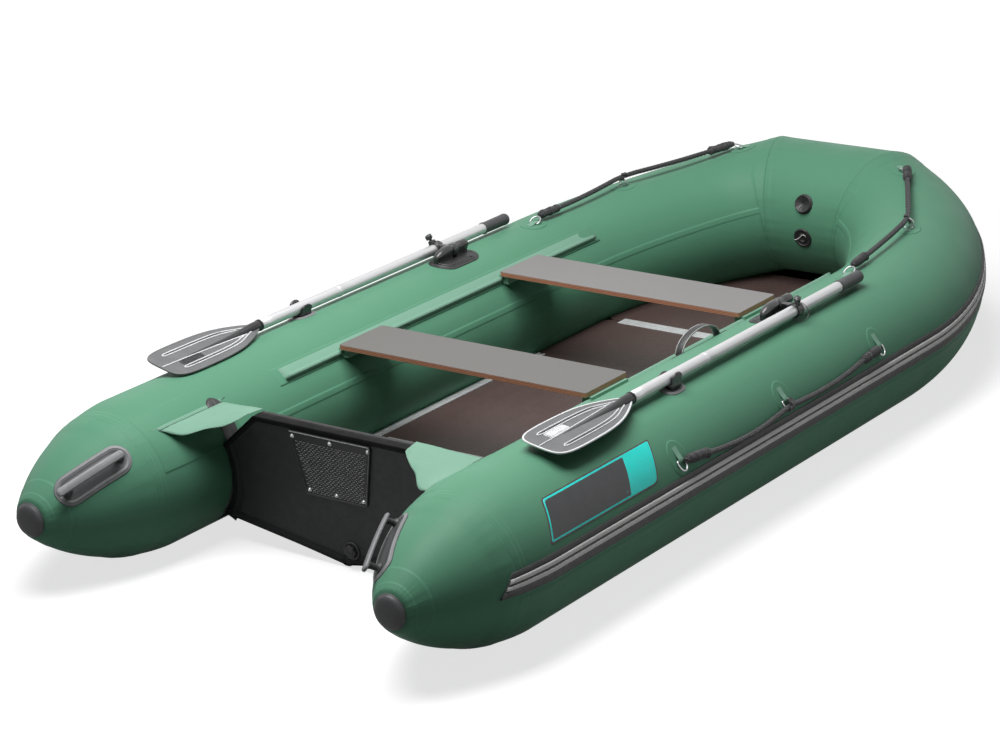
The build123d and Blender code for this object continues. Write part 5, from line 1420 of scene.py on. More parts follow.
lip_x, aft_y = outer - LIP_IN, stringer_low.y
end_outline = box_outline(lip_x - 0.003, outer - 0.004, aft_y - 0.002, aft_y + 0.026, 0.004)
ends = Shape().add(*prism(end_outline, (0, 0, 0), OUT, AHEAD, 0.1000, 0.1076, 0.0012))
for k in range(3):
    y = aft_y + 0.005 + k * 0.0075
    ends.add(*prism(box_outline(lip_x + 0.002, outer - 0.009, y, y + 0.0035, 0.0012), (0, 0, 0), OUT, AHEAD,
                    0.1070, 0.1092, 0.0006))
add_shape("stringer_end_caps", ends.both_sides(), gloss_black, slot="black_plastic", smooth=False)

joiner_half = 0.3303
TOP = 0.1003
LEVEL, GROOVE, SHOULDER = TOP + 0.0022, TOP + 0.0022 - 0.0007, TOP + 0.0015
JOINER = [(-0.0220, TOP), (-0.0220, SHOULDER), (-0.0213, LEVEL), (-0.0095, LEVEL), (-0.0090, GROOVE),
          (-0.0080, GROOVE), (-0.0075, LEVEL), (0.0075, LEVEL), (0.0080, GROOVE), (0.0090, GROOVE),
          (0.0095, LEVEL), (0.0213, LEVEL), (0.0220, SHOULDER), (0.0220, TOP), (0.0015, TOP), (0.0015, 0.0877),
          (0.0220, 0.0877), (0.0220, 0.0855), (-0.0220, 0.0855), (-0.0220, 0.0877), (-0.0015, 0.0877), (-0.0015, TOP)]
joints = Shape()
for before, after in (("1", "2"), ("2", "3"), ("3", "bow")):
    y = (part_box(f"floor_board_{before}")[1].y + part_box(f"floor_board_{after}")[0].y) / 2
    joints.add([(x, y + a, b) for x in (-joiner_half, 0.0, joiner_half) for a, b in JOINER], grid(3, len(JOINER)))
END_BAR = [(-0.0016, TOP - 0.0150), (0.0170, TOP - 0.0150), (0.0170, TOP - 0.0130), (0.0006, TOP - 0.0130),
           (0.0006, TOP), (0.0660, TOP), (0.0660, SHOULDER), (0.0650, LEVEL), (0.0130, LEVEL), (0.0122, GROOVE),
           (0.0108, GROOVE), (0.0100, LEVEL), (0.0000, LEVEL), (-0.0012, TOP + 0.0016), (-0.0016, TOP)]
joints.add([(x, aft_y + a, b) for x in (-0.349, 0.0, 0.349) for a, b in END_BAR], grid(3, len(END_BAR)))
add_shape("joiner_profiles", joints, aluminium, slot="aluminium", smooth=False, replaces=["floor_joiners"])

# ------------------------------------------------------------------ oars
shaft_low, shaft_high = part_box("oar_shaft_starboard")
grip_low, grip_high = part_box("oar_grip_starboard")
OAR_X, OAR_Z = (shaft_low.x + shaft_high.x) / 2, (shaft_low.z + shaft_high.z) / 2 - 0.0035
SHAFT_R = (shaft_high.x - shaft_low.x) / 2 + 0.0010
SHAFT_Y, GRIP_Y, GRIP_END_Y = shaft_low.y - 0.028, grip_low.y, grip_high.y
LOCK_Y = GRIP_Y - 0.197 - 0.040        # the clamp, a little aft of the rowlock in the frame
PIN = Vector((TUBE_X - 0.010, LOCK_Y, 2 * TUBE_R + 0.027))
OAR_BODIES = ("oar_starboard", "oar_port")
OAR_AXIS = Vector((OAR_X, 0, OAR_Z))

JOINT_Y = -0.308
joint, shaft_end = JOINT_Y - SHAFT_Y, GRIP_Y - SHAFT_Y
profile = [(0.0001, 0.0), (SHAFT_R, 0.0), *((SHAFT_R, y) for y in np.linspace(0.05, joint - 0.004, 6)),
           (SHAFT_R, joint - 0.003), (SHAFT_R + 0.0005, joint - 0.002), (SHAFT_R + 0.0009, joint),
           (SHAFT_R + 0.0009, joint + 0.010), (SHAFT_R + 0.0005, joint + 0.012), (SHAFT_R, joint + 0.013),
           *((SHAFT_R, y) for y in np.linspace(joint + 0.05, shaft_end - 0.001, 9)),
           (SHAFT_R, shaft_end), (0.0001, shaft_end)]
points, faces = spun(profile, OAR_AXIS + AHEAD * SHAFT_Y, AHEAD, OUT, 48)
add_both("oar_tube", points, faces, shaft_metal, bodies=OAR_BODIES, replaces=("oar_shaft",), slot="aluminium")

length = GRIP_END_Y - GRIP_Y
points, faces = spun([(0.0135, -0.004), (0.0172, -0.004), (0.0185, -0.0025), (0.0187, 0.001), (0.0182, 0.0035),
                      (0.0172, 0.0055), (0.0172, 0.03), (0.0175, 0.06), (0.0175, length - 0.022),
                      (0.0180, length - 0.016), (0.0181, length - 0.009), (0.0172, length - 0.0045),
                      (0.0150, length - 0.0012),
                      (0.0110, length), (0.0045, length), (0.0040, length - 0.002), (0.0001, length - 0.002)],
                     OAR_AXIS + AHEAD * GRIP_Y, AHEAD, OUT, 40)
add_both("oar_grip_rubber", points, faces, grey_rubber, bodies=OAR_BODIES, replaces=("oar_grip",),
         slot="cap_rubber")


# The clamp: a split ring on the shaft, an eye round the pin, and a hand screw.
def tube_ring(profile, origin, axis, side, turns=40):
    """A turned ring with a hole through it."""
    return spun(profile, origin, axis, side, turns)[0], looped(len(profile), turns)


clamp = Shape()
origin = OAR_AXIS + AHEAD * LOCK_Y
inner = SHAFT_R + 0.0002
clamp.add(*tube_ring([(inner, -0.0135), (0.0204, -0.0135), (0.0217, -0.0122), (0.0219, -0.0080), (0.0210, -0.0070),
                      (0.0210, 0.0070), (0.0219, 0.0080), (0.0217, 0.0122), (0.0204, 0.0135), (inner, 0.0135)],
                     origin, AHEAD, OUT))
clamp.add(*tube_ring([(0.0072, -0.0106), (0.0172, -0.0106), (0.0186, -0.0094), (0.0189, -0.005), (0.0189, 0.005),
                      (0.0186, 0.0094), (0.0172, 0.0106), (0.0072, 0.0106)], PIN, AHEAD, OUT))
web = rounded([(0.012, -0.0110), (0.045, -0.0150), (0.045, 0.0100), (0.012, 0.0100)], 0.002)
clamp.add(*prism(web, PIN, OUT, UP, -0.0095, 0.0095, 0.0012))
lean = Vector((0.35, -0.35, 0.87)).normalized()
side = lean.cross(AHEAD).normalized()
for y in (-0.0066, 0.0066):                       # the two ears that the screw draws together
    ear = rounded([(-0.0085, 0.016), (0.0085, 0.016), (0.0070, 0.0300), (-0.0070, 0.0300)], 0.0050)
    clamp.add(*prism(ear, origin + AHEAD * y, side, lean, -0.0034, 0.0034, 0.0010))
clamp.add(*spun([(0.0001, 0.0), (0.0062, 0.0), (0.0062, 0.006), (0.0042, 0.0075), (0.0042, 0.010), (0.0050, 0.0106),
                 (0.0042, 0.0114), (0.0050, 0.0124), (0.0042, 0.0132), (0.0050, 0.0142), (0.0042, 0.0150),
                 (0.0042, 0.020), (0.0001, 0.020)], origin + lean * 0.020, lean, AHEAD, 20))
clamp.add(*prism(lobed(0.0100, 0.0010, 6, 60), origin + lean * 0.0360, side, lean.cross(side), 0.0, 0.0136,
                 0.0032, 3))
clamp.add(*spun([(0.0001, 0.0), (0.0062, 0.0), (0.0058, 0.0012), (0.0035, 0.0020), (0.0001, 0.0022)],
                origin + lean * 0.0486, lean, AHEAD, 20))
loop = smooth_line([origin + OUT * a + AHEAD * b + UP * c for a, b, c in
                    ((0.012, 0.012, 0.020), (0.026, 0.018, 0.008), (0.034, 0.016, -0.008), (0.036, 0.002, -0.020),
                     (0.030, -0.014, -0.024), (0.020, -0.020, -0.022))])
clamp.add(*swept(ring(0.0010, 8), path_frames(loop)))
add_both("oar_clamp_ring", clamp.points, clamp.faces, gloss_black, bodies=OAR_BODIES, replaces=("oar_clamp",),
         slot="black_plastic")

# ------------------------------------------------------------------ rowlocks
base_x = PIN.x - 0.007
base_angle = math.degrees(math.acos((base_x - TUBE_X) / TUBE_R))
base_y = LOCK_Y - 0.003


def rimmed_patch(s, angle, outline, levels):
    """A patch on the tube whose levels are (distance in from the outline, lift), then a flat middle."""
    points = []
    rings = [(*level, 1.0) for level in levels] + [(*levels[-1], share) for share in (0.8, 0.6, 0.4, 0.2, 0.01)]
    for distance, lift, share in rings:
        for u, v in inset(outline, distance):
            here = s + u * share
            points.append(on_tube(here, angle + math.degrees(v * share / tube_frame(here)[4]), lift)[0])
    return points, grid(len(rings), len(outline))


rowlock_base = rimmed_patch(base_y, base_angle, dense(stadium(0.186, 0.098), 0.008), (
    (0.0, -0.0005), (0.0, 0.0014), (0.0012, 0.0024), (0.0035, 0.0027), (0.0090, 0.0030), (0.0098, 0.0046),
    (0.0112, 0.0054), (0.0132, 0.0054), (0.0146, 0.0044), (0.0160, 0.0036), (0.0215, 0.0038), (0.0225, 0.0052),
    (0.0240, 0.0058), (0.0260, 0.0058)))
SLOT = 0.0115
FOOT_DROP = -0.0300


def housing(stations, centre):
    """A rounded housing on a foot: stations are (y, radius, half width of the foot, centre's height)."""
    points = []
    for y, radius, foot, high in stations:
        row = [(radius * math.cos(math.radians(a)), high + radius * math.sin(math.radians(a)) * 0.92)
               for a in np.linspace(-20, 200, 19)]
        row += [(-foot, FOOT_DROP * 0.45), (-foot, FOOT_DROP * 0.75), (-foot * 1.25, FOOT_DROP)]
        row += [(foot * 1.25, FOOT_DROP), (foot, FOOT_DROP * 0.75), (foot, FOOT_DROP * 0.45)]
        points += [Vector((centre.x + a, centre.y + y, centre.z + b)) for a, b in row]
    return points, grid(len(stations), len(row))


aft_part = [(-SLOT, 0.0150, 0.0100, 0.0035), (-SLOT - 0.0012, 0.0162, 0.0108, 0.0035),
            (-SLOT - 0.0080, 0.0166, 0.0110, 0.0035), (-SLOT - 0.024, 0.0166, 0.0110, 0.0025),
            (-SLOT - 0.038, 0.0160, 0.0106, 0.0010), (-SLOT - 0.050, 0.0146, 0.0100, -0.001),
            (-SLOT - 0.060, 0.0124, 0.0092, -0.0035), (-SLOT - 0.067, 0.0094, 0.0080, -0.006),
            (-SLOT - 0.071, 0.0052, 0.0060, -0.009)]
fore_part = [(SLOT, 0.0136, 0.0096, 0.0030), (SLOT + 0.0012, 0.0148, 0.0102, 0.0030),
             (SLOT + 0.0070, 0.0150, 0.0102, 0.0030), (SLOT + 0.0085, 0.0136, 0.0094, 0.0030),
             (SLOT + 0.0115, 0.0134, 0.0094, 0.0030), (SLOT + 0.0130, 0.0148, 0.0102, 0.0030),
             (SLOT + 0.040, 0.0150, 0.0102, 0.0030), (SLOT + 0.047, 0.0154, 0.0100, 0.0030),
             (SLOT + 0.0500, 0.0152, 0.0098, 0.0030)]
housings = Shape().add(*housing(aft_part, PIN)).add(*housing(fore_part, PIN))
housings.add(*spun([(0.0001, -SLOT - 0.004), (0.0070, -SLOT - 0.004), (0.0070, SLOT + 0.004),
                    (0.0001, SLOT + 0.004)],
                   PIN, AHEAD, OUT, 24))
for y, across in ((-0.074, 0.0), (-0.040, 0.027), (-0.040, -0.027), (0.048, 0.026), (0.048, -0.026), (0.074, 0.0)):
    spot, way = on_tube(LOCK_Y + y, base_angle - math.degrees(across / TUBE_R), 0.0036)
    housings.add(*spun([(0.0001, 0.0), (0.0046, 0.0), (0.0046, 0.0018), (0.0036, 0.0030), (0.0001, 0.0032)],
                       spot, way, AHEAD, 16))
add_both("rowlock_foot", *rowlock_base, black_rubber, replaces=("rowlock_base",), slot="black_plastic")
add_both("rowlock_housing", housings.points, housings.faces, gloss_black, slot="black_plastic")

# ------------------------------------------------------------------ clips
CLIP_Y = LOCK_Y - 0.638
clip_angle = math.degrees(math.acos((OAR_X - TUBE_X) / TUBE_R))
clip_base = Shape().add(*rimmed_patch(CLIP_Y, clip_angle, dense(stadium(0.092, 0.068), 0.008), (
    (0.0, -0.0005), (0.0, 0.0012), (0.0010, 0.0020), (0.0028, 0.0023), (0.0052, 0.0023), (0.0060, 0.0034),
    (0.0074, 0.0038), (0.0092, 0.0036), (0.0104, 0.0028))))
R0, W = SHAFT_R + 0.0006, 0.0046
# A cup for the shaft, with an ear at each side that bends away.
clip_section = [(R0 * math.cos(math.radians(a)), R0 * math.sin(math.radians(a))) for a in np.linspace(180, 360, 17)]
clip_section += [(R0 + x, z) for x, z in (
    (0.0003, 0.006), (0.0010, 0.011), (0.0026, 0.0160), (0.0050, 0.0182), (0.0078, 0.0176), (W + 0.0046, 0.0128),
    (W + 0.0030, 0.004), (W + 0.0012, -0.006), (W - 0.0006, -0.0160), (W + 0.0010, -0.0270))]
clip_section += [(-R0 - x, z) for x, z in (
    (W - 0.0010, -0.0225), (W - 0.0012, -0.0150), (W + 0.0006, -0.006), (W + 0.0016, 0.004), (W + 0.0028, 0.0090),
    (0.0052, 0.0122), (0.0026, 0.0112), (0.0006, 0.005))]
EAR_NARROWS = 0.12 / 0.018           # how much narrower the ears get for each metre of height
stations = ((-0.0205, 0.0), (-0.0196, 0.30), (-0.0165, 0.62), (-0.0115, 0.86), (-0.0060, 0.97), (0.0, 1.0),
            (0.0060, 0.97), (0.0115, 0.86), (0.0165, 0.62), (0.0196, 0.30), (0.0205, 0.0))
points = []
for y, share in stations:
    for x, z in clip_section:
        high = z * (0.35 + 0.65 * share) if z > 0.004 else z
        points.append((OAR_X + x, CLIP_Y + y * (1 - EAR_NARROWS * max(0.0, high)), OAR_Z + high))
clip_ears = Shape().add(points, grid(len(stations), len(clip_section)))
neck = rounded([(-0.0180, -0.0250), (0.0210, -0.0290), (0.0150, -R0 - 0.001), (-0.0130, -R0 - 0.001)], 0.001)
clip_ears.add(*prism(neck, (OAR_X, CLIP_Y, OAR_Z), OUT, UP, -0.0165, 0.0165, 0.0010))
add_shape("oar_clip_feet", clip_base.both_sides(), handle_rubber, slot="black_plastic", replaces=["oar_clips"])
add_shape("oar_clip_ears", clip_ears.both_sides(), gloss_black, slot="black_plastic")

# ------------------------------------------------------------------ blades
half_outline = [(0.017, -0.016), (0.036, -0.056), (0.059, -0.120), (0.0715, -0.190), (0.0750, -0.270),
                (0.0752, -0.360), (0.0705, -0.408), (0.0560, -0.436), (0.0330, -0.4435), (0.0, -0.4440)]
outline = half_outline + [(-x, y) for x, y in reversed(half_outline[:-1])]
outline = resample(smooth_line([(x, y, 0) for x, y in outline]), 0.008)[0]
BLADE_SHORT, BLADE_ROOT = 0.920, -0.004


def inset_blade(distance):
    made = []
    for k, here in enumerate(outline):
        way = (outline[min(k + 1, len(outline) - 1)] - outline[max(k - 1, 0)]).normalized()
        made.append((here.x + way.y * distance, here.y - way.x * distance))
    return made


INWARD_SIGN = 1 if sum(abs(x) for x, _ in inset_blade(0.002)) < sum(abs(p.x) for p in outline) else -1
RIM_LEVELS = ((0.008, 0.0014), (0.0062, 0.0014), (0.0052, 0.0022), (0.0034, 0.0026), (0.0012, 0.0024), (0.0, 0.0012))
BLADE_LEVELS = [("share", 0.0, -0.0014), ("share", 0.5, -0.0014), *(("inset", d, -h) for d, h in RIM_LEVELS),
                *(("inset", d, h) for d, h in reversed(RIM_LEVELS)), ("share", 0.5, 0.0014), ("share", 0.0, 0.0014)]
SPINE = [(0.0, SHAFT_R + 0.0006), (-0.012, 0.0158), (-0.034, 0.0152), (-0.058, 0.0132), (-0.095, 0.0106),
         (-0.140, 0.0084), (-0.190, 0.0066), (-0.250, 0.0050), (-0.310, 0.0037), (-0.375, 0.0025), (-0.432, 0.0012)]
LONG_RIB = [(0.014, -0.052), (0.022, -0.078), (0.033, -0.108), (0.0415, -0.142), (0.0455, -0.200),
            (0.0465, -0.290), (0.0465, -0.372), (0.0440, -0.3835), (0.0385, -0.3840), (0.0360, -0.376),
            (0.0358, -0.290), (0.035, -0.205), (0.031, -0.148), (0.023, -0.112), (0.016, -0.084)]
SHORT_RIB = [(-0.0168, -0.075), (-0.0125, -0.150), (-0.0088, -0.230), (-0.0058, -0.310), (-0.0034, -0.385),
             (-0.0020, -0.437)]
# Dark lines beside the long ribs: painted shade.
DARK_RIB = [(0.0365, -0.128), (0.0405, -0.160), (0.0412, -0.220), (0.0412, -0.300), (0.0410, -0.366)]
PANEL = [(-0.0085, -0.284), (-0.0085, -0.368), (-0.0115, -0.3715), (-0.0290, -0.3715), (-0.0320, -0.368),
         (-0.0320, -0.288), (-0.0290, -0.2830), (-0.0110, -0.2815)]


def blade_parts(tilt):
    """The blade, its spine and its raised lines on the starboard oar, tilted about the shaft."""
    tilt = math.radians(tilt)
    across_blade = Vector((math.cos(tilt), 0, -math.sin(tilt)))
    up_blade = Vector((math.sin(tilt), 0, math.cos(tilt)))

    def at(x, y, h=0.0):
        return OAR_AXIS + AHEAD * (SHAFT_Y + BLADE_ROOT + y * BLADE_SHORT) + across_blade * x + up_blade * h

    def raised_line(corners, face_way, radius):
        flat = smooth_line([Vector((x, y, 0)) for x, y in corners])
        line = [at(p.x, p.y, face_way * 0.0016) for p in flat]
        frames = []
        for k, here in enumerate(line):
            ahead = (line[min(k + 1, len(line) - 1)] - line[max(k - 1, 0)]).normalized()
            frames.append((here, ahead.cross(up_blade).normalized(), up_blade * face_way))
        return swept(ring(radius, 8), frames)

    face, spine, lines, dark, panel = (Shape() for _ in range(5))
    points, rows, columns = [], len(BLADE_LEVELS), len(outline)
    for kind, value, h in BLADE_LEVELS:
        for x, y in inset_blade(INWARD_SIGN * (value if kind == "inset" else 0.008)):
            points.append(at(x * (value if kind == "share" else 1), y, h))
    faces = grid(rows, columns, round_columns=False, ends=False)
    faces += [tuple(r * columns for r in range(rows)),
              tuple(r * columns + columns - 1 for r in reversed(range(rows)))]
    # The rim is the second material.
    which = [1 if 4 <= r <= rows - 6 else 0 for r in range(rows - 1) for _ in range(columns - 1)]
    face.add(points, faces, which + [0, 0])
    points = []
    # The spine takes the near-black finish, as painted shade.
    for y, r in SPINE:
        flat = 0.95 if y > -0.04 else max(0.42, 0.95 + (y + 0.04) * 4.5)
        for a in (2 * math.pi * k / 20 for k in range(20)):
            points.append(at(r * math.cos(a), y, max(r, 0.0026) * flat * math.sin(a)))
    spine.add(points, grid(len(SPINE), 20))
    spine.add(*spun([(0.0001, -0.001), (SHAFT_R + 0.0006, -0.001), (SHAFT_R + 0.0009, 0.0),
                     (SHAFT_R + 0.0009, 0.0030), (SHAFT_R + 0.0004, 0.0040), (0.0001, 0.0042)],
                    at(0, 0.002), AHEAD, OUT, 32))
    for face_way in (1, -1):
        for side in (1, -1):
            lines.add(*raised_line([(side * x, y) for x, y in LONG_RIB], face_way, 0.0021))
            dark.add(*raised_line([(side * x, y) for x, y in DARK_RIB], face_way, 0.0016))
        lines.add(*raised_line(SHORT_RIB, face_way, 0.0020))
        for k in range(12):                         # the ribbed panel near the tip
            y = -0.288 - k * 0.0068
            panel.add(*raised_line([(-0.0110, y), (-0.0205, y - 0.0012), (-0.0300, y)], face_way, 0.0023))
        panel.add(*raised_line(PANEL, face_way, 0.0016))
    return face, spine, lines, dark, panel


# The two blades are alike; their finishes differ by painted light: the starboard rim and ribbed panel are pale as
# painted highlight, the port rim keeps the blade's grey and the port panel's lines are dark as painted shade.
for side, tilt, rim, panel_finish in (("starboard", 9.0, blade_pale_and_painted_highlight, blade_pale_and_painted_highlight),
                                      ("port", -12.7, blade_grey, blade_painted_shade_lines)):
    finishes = ([blade_grey, rim], blade_spine_painted_shade, blade_pale_and_painted_highlight, blade_painted_shade_lines, panel_finish)
    for part, shape, finish in zip(("face", "spine", "ribs", "grooves", "panel"), blade_parts(tilt), finishes):
        mesh = (shape.points, shape.faces) if side == "starboard" else mirrored(shape.points, shape.faces)
        add_piece(f"oar_blade_{part}_{side}", *mesh, finish, body=f"oar_{side}", slot="blade_plastic",
                  which=shape.which if part == "face" else None,
                  replaces=[f"oar_blade_{side}"] if part == "face" else [])

# ------------------------------------------------------------------ stern handles
HANDLE_Y = STERN_Y + 0.150
handle_turn = math.atan((tube_radius(HANDLE_Y + 0.08) - tube_radius(HANDLE_Y - 0.08)) / 0.16)
half_turn = math.sqrt(0.5)
handle_out = Vector((-half_turn * math.cos(handle_turn), -math.sin(handle_turn), half_turn * math.cos(handle_turn)))
handle_along = Vector((-half_turn * math.sin(handle_turn), math.cos(handle_turn), half_turn * math.sin(handle_turn)))
handle_side = handle_along.cross(handle_out)
handle_foot = tube_frame(HANDLE_Y)[0] + Vector((-half_turn, 0, half_turn)) * tube_radius(HANDLE_Y)


def handle_skin(along, across, lift):
    """A point above the cone's skin under a place (along, across) of the handle's plane."""
    point = handle_foot + handle_along * along + handle_side * across
    for _ in range(4):
        out = Vector((point.x - tube_frame(point.y)[0].x, 0, point.z - TUBE_R))
        radius = tube_radius(point.y) + 0.0007
        gap = radius + lift - out.length
        facing = out.normalized().dot(Vector((handle_out.x, 0, handle_out.z)).normalized())
        point += handle_out * gap / max(0.5, facing)
    return point


handle_outline = dense(stadium(0.226, 0.086), 0.007)
levels = ((0.0, -0.0010), (0.0, 0.0014), (0.0010, 0.0024), (0.0030, 0.0030), (0.0062, 0.0032), (0.0070, 0.0046),
          (0.0085, 0.0050), (0.0100, 0.0044), (0.0108, 0.0032), (0.0145, 0.0030), (0.0155, 0.0022))
points = [handle_skin(u, v, lift) for distance, lift in levels for u, v in inset(handle_outline, distance)]
points += [handle_skin(u * share * 0.88, v * share * 0.58, 0.0022)
           for share in (0.8, 0.6, 0.4, 0.2, 0.01) for u, v in handle_outline]
faces = grid(len(levels) + 5, len(handle_outline))
# Painted shade: the recess under the bar and the base's outer edge take the darker rubber.
painted_shade_from, painted_shade_to = 9 * len(handle_outline), 3 * len(handle_outline)
handle = Shape().add(points, faces, [1 if min(face) >= painted_shade_from or max(face) < painted_shade_to else 0 for face in faces])
bar_way = handle_out * 0.0290 - handle_along * 0.0130


def bar_point(u, v, height):
    """A point of the grip bar, which is a little crowned along its length."""
    crown = 0.0030 * (1 - (u / 0.103) ** 2)
    return handle_foot + handle_along * u + handle_side * v + bar_way + handle_out * (height + crown)


bar_outline = dense(stadium(0.206, 0.0225), 0.010)
levels = ((0.0040, -0.0046), (0.0014, -0.0042), (0.0002, -0.0028), (0.0, -0.0006), (0.0, 0.0014), (0.0008, 0.0030),
          (0.0022, 0.0038), (0.0040, 0.0041))
points = [bar_point(u, v, height) for distance, height in levels for u, v in inset(bar_outline, distance)]
points += [bar_point(u * 0.96, v * 0.30, 0.0048) for u, v in bar_outline]
handle.add(points, grid(len(levels) + 1, len(bar_outline)))
posts = Shape()
for u in (-0.080, 0.080):
    foot = handle_skin(u, 0.0, 0.0)
    top = handle_foot + handle_along * u + bar_way
    reach = (top - foot).length
    posts.add(*spun([(0.0001, -0.002), (0.0135, -0.002), (0.0135, 0.0048), (0.0118, 0.0066), (0.0094, 0.0090),
                     (0.0086, 0.013), (0.0084, reach - 0.012), (0.0096, reach - 0.006), (0.0110, reach - 0.002),
                     (0.0001, reach - 0.002)],
                    foot, (top - foot).normalized(), handle_side, 28))
add_both("stern_handle_grip", handle.points, handle.faces, [handle_rubber, handle_painted_shade],
         replaces=("stern_handle",), slot="black_plastic", which=handle.which)
add_both("stern_handle_posts", posts.points, posts.faces, black_rubber, slot="black_plastic")

# ------------------------------------------------------------------ valves
valves, leash = Shape(), Shape()
for k, angle in enumerate((19.5, -10.5)):
    up, aft = math.sin(math.radians(angle)), -math.cos(math.radians(angle))
    axis = Vector((0, aft, up))
    face = Vector((0.0115, CROSS_Y, CROSS_Z)) + axis * TUBE_R
    rim = [(0.0001, -0.006), (0.0295, -0.006), (0.0312, -0.004), (0.0314, 0.0010), (0.0306, 0.0026), (0.0288, 0.0034)]
    if k == 0:
        rim += [(0.0284, 0.0034), (0.0282, 0.0086), (0.0272, 0.0100), (0.0256, 0.0105), (0.0250, 0.0098),
                (0.0060, 0.0098), (0.0052, 0.0090), (0.0001, 0.0088)]
    else:
        rim += [(0.0262, 0.0040), (0.0248, 0.0034), (0.0240, 0.0014), (0.0150, 0.0012), (0.0142, 0.0044),
                (0.0122, 0.0050), (0.0112, 0.0014), (0.0001, 0.0012)]
    valves.add(*spun(rim, face, axis, OUT, 48))
    if k == 0:
        across = axis.cross(OUT)
        for j in range(8):                          # radial ribs of the cap
            a = math.radians(22.5 + 45 * j)
            way = OUT * math.cos(a) + across * math.sin(a)
            valves.add(*prism([(0.0075, -0.0006), (0.0236, -0.0006), (0.0236, 0.0006), (0.0075, 0.0006)],
                              face, way, axis.cross(way), 0.0092, 0.0106, 0.0003))
    else:
        # The leash is pale as painted highlight on the valve.
        line = smooth_line([face + OUT * x + UP * z + axis * h for x, z, h in
                            ((-0.0270, -0.007, 0.004), (-0.020, -0.006, 0.006), (-0.010, 0.001, 0.007),
                             (-0.003, 0.009, 0.007), (0.003, 0.0135, 0.007), (0.009, 0.012, 0.006),
                             (0.013, 0.005, 0.003))])
        leash.add(*swept(ring(0.0011, 8), path_frames(line)))
add_shape("valve_bodies", valves, black_rubber, slot="black_plastic", replaces=["valves"])
add_shape("valve_leash_painted_highlight", leash, pale_line, slot="black_plastic")

# ------------------------------------------------------------------ grab strap
strap_low, strap_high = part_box("grab_strap")
strap_x = (strap_low.x + strap_high.x) / 2
strap_mid = (strap_low.y + strap_high.y) / 2
strap_half = (strap_high.y - strap_low.y) / 2 - 0.0015
foot_z = TUBE_R + math.sqrt(TUBE_R**2 - (strap_x - TUBE_X) ** 2)
top_z = strap_high.z - 0.0015
arch = []
for k in range(41):
    a = math.pi * k / 40
    arch.append(Vector((strap_x, strap_mid - strap_half * math.cos(a) * (1 - 0.06 * math.sin(a)),
                        foot_z - 0.002 + (top_z - foot_z + 0.002) * math.sin(a) ** 0.85)))
strap = Shape().add(*strap_piece(arch, OUT, 0.0245, 0.0030))
for dx in (-0.0104, 0.0104):                        # two pale stripes
    strap.add(*strap_piece([p + OUT * dx for p in arch], OUT, 0.0026, 0.0036), 1)
angle = math.degrees(math.acos((strap_x - TUBE_X) / TUBE_R))
foot = rounded([(-0.020, -0.015), (0.020, -0.015), (0.020, 0.015), (-0.020, 0.015)], 0.004)
for way in (-1, 1):                                 # the feet lie on the tube
    strap.add(*tube_patch(strap_mid + way * (strap_half + 0.012), angle, foot, 0.0016, 0.001))
add_shape("grab_strap_webbing", strap, [webbing_black, webbing_pale], slot="webbing", which=strap.which,
          replaces=["grab_strap"])

# ------------------------------------------------------------------ bow eye
eye_angle = math.radians(-42.0)
eye_way = Vector((0, math.cos(eye_angle), math.sin(eye_angle)))
eye_centre = Vector((0, CROSS_Y, CROSS_Z))
points = []
levels = ((1.0, -0.0005), (1.0, 0.0012), (0.975, 0.0020), (0.93, 0.0021), (0.90, 0.0026), (0.86, 0.0021),
          (0.6, 0.0021), (0.3, 0.0021), (0.01, 0.0021))
for share, lift in levels:
    for k in range(48):
        a = 2 * math.pi * k / 48
        x, v = 0.055 * share * math.cos(a), 0.055 * share * math.sin(a)
        b = eye_angle + v / TUBE_R
        points.append(eye_centre + Vector((x, math.cos(b) * (TUBE_R + lift), math.sin(b) * (TUBE_R + lift))))
add_piece("bow_eye_patch", points, grid(len(levels), 48), black_rubber, slot="cap_rubber", replaces=["bow_eye"])
down = Vector((0, math.sin(eye_angle), -math.cos(eye_angle)))
face = eye_centre + eye_way * TUBE_R
web = [face + down * d + eye_way * h for d, h in ((-0.036, 0.0026), (-0.020, 0.0030), (-0.008, 0.0070), (0.0, 0.0094),
                                                  (0.008, 0.0070), (0.020, 0.0030), (0.036, 0.0026))]
add_piece("bow_eye_webbing", *strap_piece(smooth_line(web), OUT, 0.022, 0.0016), webbing_black, slot="webbing")
eye_ring = d_ring(face + eye_way * 0.0052, (down + eye_way * 0.06).normalized(), OUT, 0.0185, 0.0032)
add_piece("bow_eye_ring", *eye_ring, steel, slot="ring_steel")

# ------------------------------------------------------------------ floor, light and background
def looked_at(tree):
    """The light path of a node tree, and a socket that is 1 where the camera looks, straight or mirrored."""
    paths = node(tree, "ShaderNodeLightPath")
    seen = math_of(tree, "MAXIMUM", paths.outputs["Is Camera Ray"], paths.outputs["Is Glossy Ray"])
    return paths, math_of(tree, "MAXIMUM", seen, paths.outputs["Is Transmission Ray"])


def choose(tree, seen, unseen_shader, seen_shader, output):
    """Puts one shader where it is looked at and another one where it only sheds light."""
    mix = node(tree, "ShaderNodeMixShader")
    for socket, source in zip(mix.inputs, (seen, unseen_shader.outputs[0], seen_shader.outputs[0])):
        tree.links.new(source, socket)
    tree.links.new(mix.outputs[0], tree.nodes[output].inputs["Surface"])


